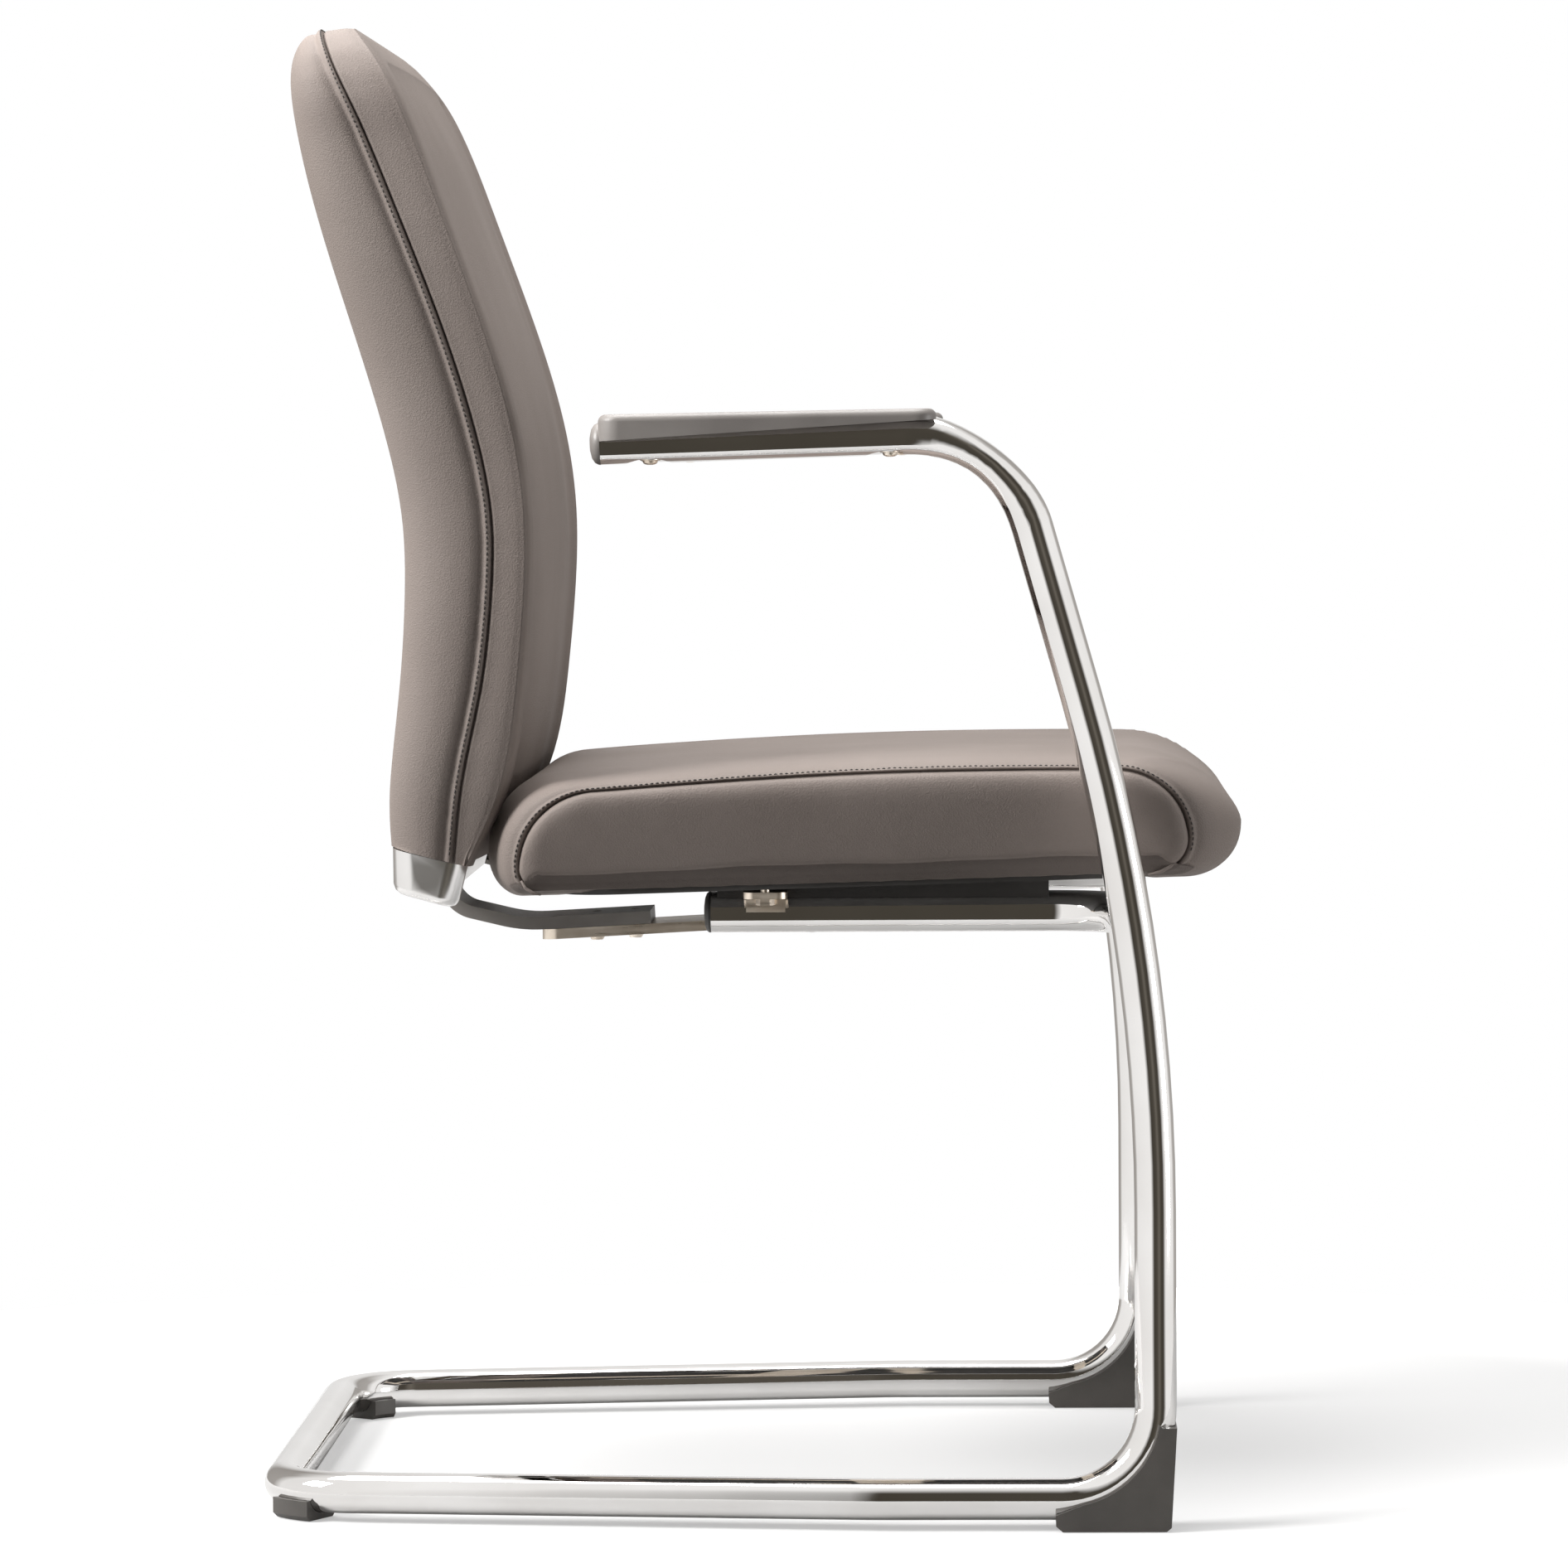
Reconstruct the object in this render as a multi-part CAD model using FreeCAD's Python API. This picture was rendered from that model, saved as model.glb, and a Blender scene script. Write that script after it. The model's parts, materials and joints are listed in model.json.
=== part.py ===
import FreeCAD, Part
import math
import os
from FreeCAD import Vector

# Visitor chair on a cantilever tube frame. Millimetres, +X forward, +Y to the sitter's left, +Z up.
# The origin is on the floor under the middle of the chair's box.

# Frame tube, with the arm, leg and floor rail given by their centre lines;
# overrun is how far a cut goes past the piece that it trims
tube_radius = 12.7
tube_wall = 2.0
fit_gap = 0.2
overrun = 20.0
frame_half_width = 267.5
arm_end_x = -86.0
arm_end_z = 660.3
arm_corner_x = 158.0
arm_slope = math.tan(math.radians(1.56))
arm_bend_radius = 79.0
bend_squash = 2.3
bend_spread = 1.3
dimple_places = (-56.0, 89.0)
dimple_radius = 38.0
dimple_depth = 2.6
leg_x = 247.0
leg_corner_z = 354.0
leg_bend_radius = 1150.0
foot_bend_radius = 57.0
rail_front_z = 18.0
rail_kink_x = 77.0
rail_kink_radius = 260.0
rail_rear_x = -292.6
rail_rear_z = 17.0
rail_rear_half_width = 226.7
rear_bend_radius = 52.0

# Arm pads and tube plugs
pad_length = 204.0
pad_half_width = 21.0
pad_rise_rear = 17.6
pad_rise_front = 14.6
pad_skirt_rear = 1.5
pad_skirt_front = 8.0
pad_end_radius = 13.0
pad_edge_radius = 4.5
plug_rim = 1.2
plug_dome = 5.0
plug_stem = 18.0
# Share of the dome's height, and of the tube's radius there
plug_profile = ((0.0, 1.0), (0.45, 0.91), (0.8, 0.7), (1.0, 0.36))

# Floor shoes at the front and glides at the rear
shoe_half_width = 15.6
shoe_front_x = 259.5
shoe_toe_x = 256.0
shoe_rear_x = 186.0
shoe_height = 63.0
shoe_tip_height = 10.0
shoe_wall_radius = 60.0
glide_half_width = 15.4
glide_chamfer = 3.0
glide_height = 12.5
glide_start = -8.0
glide_sweep = 27.0

# Steelwork under the seat
support_half_width = 195.0
support_z = 371.5
support_rear_x = -24.0
support_front_x = 233.0
support_bend_radius = 48.0
strip_half_width = 9.0
strip_x = (-20.0, 184.0)
lug_places = (10.0,)
lug_length = 27.0
lug_reach = 30.0
lug_thickness = 4.0
lug_web_height = 13.0
lug_web_thickness = 3.0
lug_corner = 6.0
seat_bolt_offset = 22.5
seat_bolt_radius = 3.0
cross_bar_x = (37.0, 97.0)
cross_bar_thickness = 5.5
tongue_width = 60.0
tongue_thickness = 6.5
tongue_x = (-140.0, 104.0)
tongue_rear_z = 349.2
tongue_slope = math.tan(math.radians(3.0))
tongue_corner = 10.0
tongue_bolt_places = (52.0, 82.0)
bar_bolt_places = (-106.0, -81.0)
frame_bolt_radius = 3.0
bolt_head_radius = 5.5
bolt_head_foot = 3.8
bolt_head_height = 3.2
bolt_play = 0.2

# Flat bar from the tongue up into the backrest
bar_width = 60.0
bar_thickness = 8.0
bar_front_x = -70.0
bar_knee_x = -152.0
bar_knee_radius = 90.0
bar_rise = math.tan(math.radians(13.5))
bar_corner_x = -205.0
bar_corner_radius = 22.0
bar_lean = math.tan(math.radians(9.5))
bar_top_z = 548.0

# Seat base, tilted with the seat
seat_tilt = math.tan(math.radians(1.63))
seat_base_x = 66.0
seat_base_z = 388.7
tray_x = (-118.0, 250.0)
tray_half_width = 226.0
tray_corner = 40.0
tray_wall = 3.0
tray_height = 13.0
board_thickness = 12.0

# Seat cushion: outline along the middle, and how far each edge draws in towards the side seam
seat_rear_x = -164.0
seat_front_x = 305.3
seat_low_rear = 380.5
seat_low_front = 390.5
seat_top_rear = 452.5
seat_top_front = 465.5
seat_crown = 5.5
seat_flat_y = 150.0
seat_seam_y = 238.0
seat_draw_rear = 24.0
seat_draw_front = 35.0
seat_draw_low = 8.5
seat_draw_top = 5.0
seat_stations = (0.0, 150.0, 190.0, 215.0, 229.0, 236.0, 238.0)
# Side panels outside the seam: distance from the middle, inset along X, inset along Z
side_panel_steps = ((239.5, 2.0, 1.5), (244.5, 9.0, 7.0), (247.5, 30.0, 22.0))
rear_round = 42.0
front_round = 48.0
under_round_rear = 22.0
under_round_front = 34.0

# Backrest: height, rear x, seam x, front x, half width at the seam
back_stations = (
    (396.0, -223.0, -183.0, -172.0, 216.0),
    (450.0, -220.0, -176.0, -149.0, 228.0),
    (510.0, -213.0, -163.0, -138.0, 236.0),
    (565.0, -209.0, -156.0, -133.0, 239.0),
    (615.0, -210.0, -155.0, -132.0, 240.0),
    (670.0, -221.0, -165.0, -139.0, 240.0),
    (740.0, -242.0, -187.0, -159.0, 240.0),
    (810.0, -263.0, -214.0, -184.0, 238.0),
    (865.0, -275.0, -237.0, -205.0, 234.0),
    (893.0, -278.0, -250.0, -220.0, 226.0),
    (908.0, -274.0, -257.0, -234.0, 214.0),
    (918.0, -267.0, -260.0, -247.0, 196.0),
)
back_rear_bow = 11.0
back_front_bow = 6.0
back_corner = 20.0
front_edge_inset = 15.0
seam_gap = 0.6
back_board_rows = slice(1, 9)
back_board_inset = 30.0
back_board_front = 2.0
back_board_thickness = 10.0
back_cut_rear = (-240.0, 417.5)
back_cut_front = (-140.0, 393.5)
back_reach = 260.0

# Trim along the backrest's lower edge, a shell that is open above and in front
trim_rear_foot = (-220.0, 385.4)
trim_slope = 15.3
trim_depth = 40.6
trim_half_width = 211.0
trim_flare = 0.08
trim_bow = 9.0
trim_corner = 13.0
trim_wall = 3.0
# Levels of the trim above its floor, and how far its outline draws in there
trim_levels = ((0.0, 4.5), (1.6, 1.4), (5.0, 0.0), (60.0, 0.0))
trim_lip_height = 10.0
trim_lip_end = 14.0
trim_open_x = -198.0
trim_open_front = -150.0
trim_open_z = 350.0
# Room for the bar in the trim: rear x, lowest z, highest z
trim_bar_room = (-216.0, 340.0, 402.0)


def disc(radius, centre, along):
    return Part.Face(Part.Wire(Part.makeCircle(radius, centre, along)))


def bent_run(points, radii, section):
    # Carry a section along straight runs that are joined by tangent bends
    pieces = []
    start = points[0]
    for before, corner, after, radius in zip(points, points[1:], points[2:], radii):
        back = (before - corner).normalize()
        ahead = (after - corner).normalize()
        half = back.getAngle(ahead) / 2
        first = corner + back * (radius / math.tan(half))
        last = corner + ahead * (radius / math.tan(half))
        centre = corner + (back + ahead).normalize() * (radius / math.sin(half))
        pieces.append(section(start, first - start).extrude(first - start))
        turn = 180 - math.degrees(2 * half)
        pieces.append(section(first, first - start).revolve(centre, ahead.cross(back), turn))
        start = last
    pieces.append(section(start, points[-1] - start).extrude(points[-1] - start))
    return pieces[0].multiFuse(pieces[1:]).removeSplitter()


def rod(points, radii, radius):
    return bent_run(points, radii, lambda centre, along: disc(radius, centre, along))


def end_bore(end, along):
    # The open end of a tube, as deep as its plug needs
    return disc(tube_radius - tube_wall, end, along).extrude(along * (plug_stem + 4))


def polygon_face(points):
    return Part.Face(Part.makePolygon(points + points[:1]))


def plate(outline, low_y, high_y):
    # A closed outline of (x, z) corners pushed along Y
    face = polygon_face([Vector(x, low_y, z) for x, z in outline])
    return face.extrude(Vector(0, high_y - low_y, 0))


def block(low, high):
    size = Vector(*high) - Vector(*low)
    return Part.makeBox(size.x, size.y, size.z, Vector(*low))


def upright_edges(shape):
    return [edge for edge in shape.Edges if abs(edge.tangentAt(edge.FirstParameter).z) > 0.9]


def both_sides(shape):
    return [shape, shape.mirror(Vector(0, 0, 0), Vector(0, 1, 0))]


def pair(shape):
    return Part.makeCompound(both_sides(shape))


def cut_both(shape, tool):
    return shape.cut(both_sides(tool))


def largest(shape):
    return max(shape.Solids, key=lambda solid: solid.Volume)


def arc(first, middle, last):
    return Part.Arc(first, middle, last).toShape()


def arm_height(x):
    return arm_end_z + (x - arm_end_x) * arm_slope


def arm_points():
    # Rear end of the arm, the corner above the leg and a point down the leg
    start = Vector(arm_end_x, -frame_half_width, arm_end_z)
    corner = Vector(arm_corner_x, -frame_half_width, arm_height(arm_corner_x))
    below = corner + (leg_corner() - corner) * 0.4
    return start, corner, below


def leg_corner():
    return Vector(leg_x, -frame_half_width, leg_corner_z)


def arm_bend_ends():
    # Where the arm bend starts and ends, its centre and how far it turns
    start, corner, below = arm_points()
    back = (start - corner).normalize()
    ahead = (below - corner).normalize()
    half = back.getAngle(ahead) / 2
    reach = arm_bend_radius / math.tan(half)
    centre = corner + (back + ahead).normalize() * (arm_bend_radius / math.sin(half))
    return corner + back * reach, corner + ahead * reach, centre, math.pi - 2 * half


def leg_bend_centre():
    # Centre of the long curve in the leg
    ahead = (arm_points()[1] - leg_corner()).normalize()
    half = ahead.getAngle(Vector(0, 0, -1)) / 2
    return leg_corner() + (ahead + Vector(0, 0, -1)).normalize() * (leg_bend_radius / math.sin(half))


def leg_line_x(z):
    # The leg's centre line where it curves
    centre = leg_bend_centre()
    return centre.x + math.sqrt(leg_bend_radius ** 2 - (z - centre.z) ** 2)


def leg_direction(z):
    centre = leg_bend_centre()
    return Vector(centre.z - z, 0, leg_line_x(z) - centre.x).normalize()


def bend_section(share):
    # The tube flattens a little in the middle of the arm bend
    first, last, centre, turn = arm_bend_ends()
    spin = FreeCAD.Rotation(Vector(0, 1, 0), math.degrees(turn * share))
    outward = spin.multVec((first - centre).normalize())
    flatness = math.sin(math.pi * share) ** 2
    middle = centre + outward * (arm_bend_radius - flatness * bend_squash * 0.3)
    tall = tube_radius - flatness * bend_squash
    wide = tube_radius + flatness * bend_spread
    along = outward.cross(Vector(0, 1, 0))
    shaped = FreeCAD.Matrix(
        outward.x * tall, 0, along.x, middle.x,
        0, wide, 0, middle.y,
        outward.z * tall, 0, along.z, middle.z,
        0, 0, 0, 1)
    return Part.Wire(Part.makeCircle(1).transformGeometry(shaped).Edges)


def arm_bend():
    steps = 4
    return Part.makeLoft([bend_section(i / steps) for i in range(steps + 1)], True, False)


def lower_frame_points():
    # From the right arm bend down the leg, round the base and up to the left arm bend
    right = [
        arm_bend_ends()[1],
        leg_corner(),
        Vector(leg_x, -frame_half_width, rail_front_z),
        Vector(rail_kink_x, -frame_half_width, rail_front_z),
        Vector(rail_rear_x, -rail_rear_half_width, rail_rear_z),
    ]
    return right + [Vector(p.x, -p.y, p.z) for p in reversed(right)]


def glide_centre():
    # Centre of the rear corner bend in plan, and the direction from it to the corner
    corner = Vector(rail_rear_x, -rail_rear_half_width, 0)
    ahead = (Vector(rail_kink_x, -frame_half_width, 0) - corner).normalize()
    across = Vector(0, 1, 0)
    half = ahead.getAngle(across) / 2
    centre = corner + (ahead + across).normalize() * (rear_bend_radius / math.sin(half))
    return centre, (corner - centre).normalize()


def arm_dimple(x):
    # Shallow dent under the arm where a pad screw sits
    drop = tube_radius + dimple_radius - dimple_depth
    foot = Vector(x, -frame_half_width - overrun, arm_height(x) - drop)
    return Part.makeCylinder(dimple_radius, 2 * overrun, foot, Vector(0, 1, 0))


def frame_tube():
    start = arm_points()[0]
    first = arm_bend_ends()[0]
    arm = rod([start, first], [], tube_radius).cut(end_bore(start, (first - start).normalize()))
    arm = arm.cut([arm_dimple(x) for x in dimple_places])
    radii = [leg_bend_radius, foot_bend_radius, rail_kink_radius, rear_bend_radius]
    base = rod(lower_frame_points(), radii + radii[::-1], tube_radius)
    return base.multiFuse(both_sides(arm) + both_sides(arm_bend()))


def arm_pads():
    rear = arm_end_x - 1
    front = rear + pad_length
    blank = block((rear, -frame_half_width - pad_half_width, arm_end_z - overrun),
                  (front, -frame_half_width + pad_half_width, arm_end_z + 2 * overrun))
    blank = blank.makeFillet(pad_end_radius, upright_edges(blank))
    side = plate([
        (rear, arm_height(rear) + pad_skirt_rear),
        (front, arm_height(front) + pad_skirt_front),
        (front, arm_height(front) + pad_rise_front),
        (rear, arm_height(rear) + pad_rise_rear),
    ], -frame_half_width - pad_half_width - overrun, -frame_half_width + pad_half_width + overrun)
    pad = blank.common(side)
    top = max(pad.Faces, key=lambda face: face.CenterOfMass.z)
    pad = pad.makeFillet(pad_edge_radius, top.Edges)
    groove = [Vector(x, -frame_half_width, arm_height(x)) for x in (rear - overrun, front + overrun)]
    return pair(pad.cut(rod(groove, [], tube_radius + fit_gap)))


def end_plug(dome):
    # Tapered stem inside the tube to the front, cap behind the tube's end that rounds off in steps
    bore = tube_radius - tube_wall - fit_gap
    stem = Part.makeCone(bore, bore - 1, plug_stem, Vector(0, 0, 0), Vector(1, 0, 0))
    levels = [(0, 1.0)] + [(plug_rim + dome * depth, share) for depth, share in plug_profile]
    rings = [Part.makeCircle(tube_radius * share, Vector(-x, 0, 0), Vector(-1, 0, 0)) for x, share in levels]
    return stem.fuse(Part.makeLoft([Part.Wire(ring) for ring in rings], True, True))


def arm_end_plugs():
    plug = end_plug(plug_dome)
    plug.translate(Vector(-0.1, 0, 0))
    plug.rotate(Vector(0, 0, 0), Vector(0, 1, 0), -math.degrees(math.atan(arm_slope)))
    plug.translate(Vector(arm_end_x, -frame_half_width, arm_end_z))
    return pair(plug)


def front_shoes():
    centre = Vector(leg_x - foot_bend_radius, 0, rail_front_z + foot_bend_radius)
    wall = [centre + Vector(math.cos(a), 0, math.sin(a)) * shoe_wall_radius
            for a in (math.radians(-10), math.radians(-45), math.radians(-78))]
    points = [wall[0], Vector(wall[0].x + 2, 0, shoe_height), Vector(shoe_front_x, 0, shoe_height),
              Vector(shoe_toe_x, 0, 2.5), Vector(shoe_toe_x - 3, 0, 0), Vector(shoe_rear_x + 4, 0, 0),
              Vector(shoe_rear_x, 0, 3.5), Vector(shoe_rear_x, 0, shoe_tip_height), wall[2]]
    edges = [Part.makeLine(a, b) for a, b in zip(points, points[1:])]
    edges.append(arc(wall[2], wall[1], wall[0]))
    shoe = Part.Face(Part.Wire(edges)).extrude(Vector(0, 2 * shoe_half_width, 0))
    shoe.translate(Vector(0, -frame_half_width - shoe_half_width, 0))
    leg_top = Vector(leg_x, -frame_half_width, 120)
    foot = Vector(leg_x, -frame_half_width, rail_front_z)
    rail = Vector(rail_kink_x, -frame_half_width, rail_front_z)
    return pair(shoe.cut(rod([leg_top, foot, rail], [foot_bend_radius], tube_radius + fit_gap)))


def rear_glides():
    centre, outward = glide_centre()
    base = glide_half_width - glide_chamfer
    corners = [(-base, 0), (base, 0), (glide_half_width, glide_chamfer), (glide_half_width, glide_height),
               (-glide_half_width, glide_height), (-glide_half_width, glide_chamfer)]
    points = [centre + outward * (rear_bend_radius + out) + Vector(0, 0, z) for out, z in corners]
    face = polygon_face(points)
    face.rotate(centre, Vector(0, 0, 1), glide_start)
    glide = face.revolve(centre, Vector(0, 0, 1), glide_sweep)
    ring = Part.makeTorus(rear_bend_radius, tube_radius + fit_gap, centre + Vector(0, 0, rail_rear_z))
    return pair(glide.cut(ring))


def support_points():
    return [
        Vector(support_front_x, -frame_half_width, support_z),
        Vector(support_front_x, -support_half_width, support_z),
        Vector(support_rear_x, -support_half_width, support_z),
    ]


def support_rod(radius):
    return rod(support_points(), [support_bend_radius], radius)


def seat_support_tubes():
    # Bent from the leg inwards and back; its front end is shaped to the leg it is welded to
    along = leg_direction(support_z)
    middle = Vector(leg_line_x(support_z), -frame_half_width, support_z)
    leg = rod([middle - along * 40, middle + along * 40], [], tube_radius + fit_gap)
    run = support_rod(tube_radius).cut(end_bore(support_points()[-1], Vector(1, 0, 0)))
    return pair(largest(run.cut(leg)))


def support_plugs():
    plug = end_plug(plug_dome * 0.6)
    plug.translate(Vector(support_rear_x - 0.1, -support_half_width, support_z))
    return pair(plug)


def seat_floor(x):
    # Underside of the seat above the point x
    return seat_base_z + (x - seat_base_x) * seat_tilt


def packing_strips():
    # Wedge that fills the gap between the support tube and the tilted seat
    low = support_z + tube_radius * 0.55
    outline = [(strip_x[0], low), (strip_x[1], low),
               (strip_x[1], seat_floor(strip_x[1]) - 0.1), (strip_x[0], seat_floor(strip_x[0]) - 0.1)]
    strip = plate(outline, -support_half_width - strip_half_width, -support_half_width + strip_half_width)
    strip = strip.cut(support_rod(tube_radius + 0.1))
    return pair(largest(strip))


def lug_top_z():
    return support_z + tube_radius + 1.0


def seat_bolt_foot(x):
    return Vector(x, -support_half_width - seat_bolt_offset, lug_top_z() - lug_thickness)


def seat_lugs():
    # Plated angle pieces on the outer side of the support tubes: a flange for the bolt, a web on the tube
    lugs = []
    inner = -support_half_width - strip_half_width - 0.5
    outer = -support_half_width - lug_reach
    web_face = -support_half_width - tube_radius
    top = lug_top_z()
    for x in lug_places:
        half = lug_length / 2
        flange = block((x - half, outer, top - lug_thickness), (x + half, inner, top))
        corners = [edge for edge in upright_edges(flange) if edge.CenterOfMass.y < outer + 1]
        flange = flange.makeFillet(lug_corner, corners)
        web = block((x - half + 1.5, web_face - lug_web_thickness, top - lug_web_height),
                    (x + half - 1.5, web_face + 1, top - 1))
        lug = flange.fuse(web).cut(support_rod(tube_radius + 0.05))
        hole = Part.makeCylinder(seat_bolt_radius + bolt_play, 20, seat_bolt_foot(x) - Vector(0, 0, 8))
        lugs += both_sides(lug.cut(hole))
    return Part.makeCompound(lugs)


def hexagon(across):
    corner = across / math.sqrt(3)
    turns = [k * math.pi / 3 for k in range(6)]
    return [Vector(corner * math.cos(turn), corner * math.sin(turn), 0) for turn in turns]


def hex_bolt(length, shank, across, height):
    # Head below the origin, shank up along Z
    head = polygon_face(hexagon(across)).extrude(Vector(0, 0, -height))
    return head.fuse(Part.makeCylinder(shank, length))


def seat_bolts():
    bolts = []
    for x in lug_places:
        foot = seat_bolt_foot(x)
        bolt = hex_bolt(seat_floor(x) + board_thickness - foot.z, seat_bolt_radius, 10, 4)
        bolt.translate(foot - Vector(0, 0, 0.1))
        bolts += both_sides(bolt)
    return Part.makeCompound(bolts)


def tongue_line(x):
    # Top of the tongue, which slopes up towards the front
    return tongue_rear_z + (x - tongue_x[0]) * tongue_slope


def sloping_plate(low_x, high_x, low, high, half):
    # A flat bar that follows the tongue's slope, between two heights above its top
    outline = [(low_x, tongue_line(low_x) + low), (high_x, tongue_line(high_x) + low),
               (high_x, tongue_line(high_x) + high), (low_x, tongue_line(low_x) + high)]
    return plate(outline, -half, half)


def upright_bores(places, radius):
    return [Part.makeCylinder(radius, 60, Vector(x, 0, tongue_line(x) - 30)) for x in places]


def cross_bar():
    # Flat bar between the two support tubes, welded to their inner sides
    bar = sloping_plate(cross_bar_x[0], cross_bar_x[1], 0.1, 0.1 + cross_bar_thickness, support_half_width)
    bar = cut_both(bar, support_rod(tube_radius + 0.1))
    return largest(bar).cut(upright_bores(tongue_bolt_places, frame_bolt_radius + bolt_play))


def back_tongue():
    tongue = sloping_plate(tongue_x[0], tongue_x[1], -tongue_thickness, 0, tongue_width / 2)
    tongue = tongue.makeFillet(tongue_corner, upright_edges(tongue))
    return tongue.cut(upright_bores(tongue_bolt_places + bar_bolt_places, frame_bolt_radius + bolt_play))


def tongue_bolts():
    # Low round heads under the tongue; the shanks end in the threads of what lies on it
    bolts = []
    for x in tongue_bolt_places + bar_bolt_places:
        clamped = cross_bar_thickness if x in tongue_bolt_places else bar_thickness
        foot = Vector(x, 0, tongue_line(x) - tongue_thickness - 0.5)
        length = tongue_line(x) + clamped - 0.6 - foot.z
        head = Part.makeCone(bolt_head_foot, bolt_head_radius, bolt_head_height,
                             foot - Vector(0, 0, bolt_head_height))
        bolts.append(head.fuse(Part.makeCylinder(frame_bolt_radius, length, foot)))
    return Part.makeCompound(bolts)


def bar_points():
    # Middle line of the bar in side view: along the tongue, up to the backrest, then up inside it
    lift = bar_thickness / 2 + 0.2
    front = Vector(bar_front_x, 0, tongue_line(bar_front_x) + lift)
    knee = Vector(bar_knee_x, 0, tongue_line(bar_knee_x) + lift)
    corner = Vector(bar_corner_x, 0, knee.z + (bar_knee_x - bar_corner_x) * bar_rise)
    top = Vector(corner.x + (bar_top_z - corner.z) * bar_lean, 0, bar_top_z)
    return [front, knee, corner, top]


def flat_bar(width, thickness):
    def section(centre, along):
        up = Vector(along).normalize().cross(Vector(0, 1, 0)) * (thickness / 2)
        side = Vector(0, width / 2, 0)
        upper = [centre + up + side, centre + up - side]
        return polygon_face(upper + [centre - up - side, centre - up + side])

    return bent_run(bar_points(), [bar_knee_radius, bar_corner_radius], section)


def back_bar():
    bar = flat_bar(bar_width, bar_thickness)
    return bar.cut(upright_bores(bar_bolt_places, frame_bolt_radius + bolt_play))


def seat_row(y):
    # Rear, front, low and top edges of the seat outline, drawn in towards the seam in a quarter ellipse
    share = max(0.0, (abs(y) - seat_flat_y) / (seat_seam_y - seat_flat_y))
    draw = 1 - math.sqrt(1 - share * share)
    return (seat_rear_x + seat_draw_rear * draw, seat_front_x - seat_draw_front * draw,
            seat_low_rear + seat_draw_low * draw, seat_low_front + seat_draw_low * draw,
            seat_top_rear - seat_draw_top * draw, seat_top_front - seat_draw_top * draw)


def seat_wire(y, row):
    rear, front, low_rear, low_front, top_rear, top_front = row
    nose = low_front + (top_front - low_front) * 0.44
    tail = low_rear + (top_rear - low_rear) * 0.36
    bow = math.sqrt(0.5)

    def quarter(level, upright):
        # Middle of the quarter round between a level and an upright end
        return Vector(level.x + (upright.x - level.x) * bow, y, upright.z + (level.z - upright.z) * bow)

    top_back = Vector(rear + rear_round, y, top_rear)
    top_ahead = Vector(front - front_round, y, top_front)
    front_end = Vector(front, y, nose)
    low_ahead = Vector(front - under_round_front, y, low_front)
    low_back = Vector(rear + under_round_rear, y, low_rear)
    rear_end = Vector(rear, y, tail)
    crown = (top_back + top_ahead) / 2 + Vector(0, 0, seat_crown)
    return Part.Wire([
        arc(top_back, crown, top_ahead),
        arc(top_ahead, quarter(top_ahead, front_end), front_end),
        arc(front_end, quarter(low_ahead, front_end), low_ahead),
        Part.makeLine(low_ahead, low_back),
        arc(low_back, quarter(low_back, rear_end), rear_end),
        arc(rear_end, quarter(top_back, rear_end), top_back),
    ])


def seat_cushion():
    sections = [(y, seat_row(y)) for y in seat_stations]
    rear, front, low_rear, low_front, top_rear, top_front = seat_row(seat_seam_y)
    for y, along, up in side_panel_steps:
        sections.append((y, (rear + along, front - along, low_rear + up, low_front + up,
                             top_rear - up, top_front - up)))
    right = [seat_wire(-y, row) for y, row in reversed(sections)]
    left = [seat_wire(y, row) for y, row in sections[1:]]
    cushion = Part.makeLoft(right + left, True, True)
    return largest(cushion.cut(seat_layer(-0.3, -20, tray_wall + board_thickness + 0.3)))


def seat_layer(inset, low, high):
    # A flat layer of the seat's base, tilted with the seat
    x0 = tray_x[0] + inset
    x1 = tray_x[1] - inset
    outline = [(x0, seat_floor(x0) + low), (x1, seat_floor(x1) + low),
               (x1, seat_floor(x1) + high), (x0, seat_floor(x0) + high)]
    layer = plate(outline, inset - tray_half_width, tray_half_width - inset)
    return layer.makeFillet(tray_corner - inset, upright_edges(layer))


def with_seat_holes(shape, radius):
    for x in lug_places:
        foot = Vector(x, seat_bolt_foot(x).y, seat_floor(x) - 10)
        shape = cut_both(shape, Part.makeCylinder(radius, 40, foot))
    return shape


def seat_under_cover():
    tray = seat_layer(0, 0, tray_height).cut(seat_layer(tray_wall, tray_wall, tray_height + 5))
    return with_seat_holes(tray, seat_bolt_radius + bolt_play)


def seat_board():
    board = seat_layer(tray_wall + 1, tray_wall + 0.1, tray_wall + board_thickness)
    return with_seat_holes(board, seat_bolt_radius + bolt_play)


def back_wire(side, bow):
    # Close a level section of the backrest from its right side's five points, mirrored to the left
    ra, rb, rc, rd, re = side(-1)
    la, lb, lc, ld, le = side(1)
    middle = (re + le) / 2 - Vector(bow, 0, 0)
    return Part.Wire([arc(ra, rb, rc), arc(rc, rd, re), arc(re, middle, le),
                      arc(le, ld, lc), arc(lc, lb, la), Part.makeLine(la, ra)])


def back_rear_wire(row):
    z, rear, seam, front, half = row
    corner = min(back_corner, (seam - rear) * 0.45)

    def side(sign):
        return (Vector(seam, sign * half, z),
                Vector((seam + rear + corner) / 2, sign * (half + corner * 0.05), z),
                Vector(rear + corner, sign * (half - corner * 0.08), z),
                Vector(rear + corner * 0.22, sign * (half - corner * 0.44), z),
                Vector(rear, sign * (half - corner * 1.2), z))

    return back_wire(side, back_rear_bow)


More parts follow.
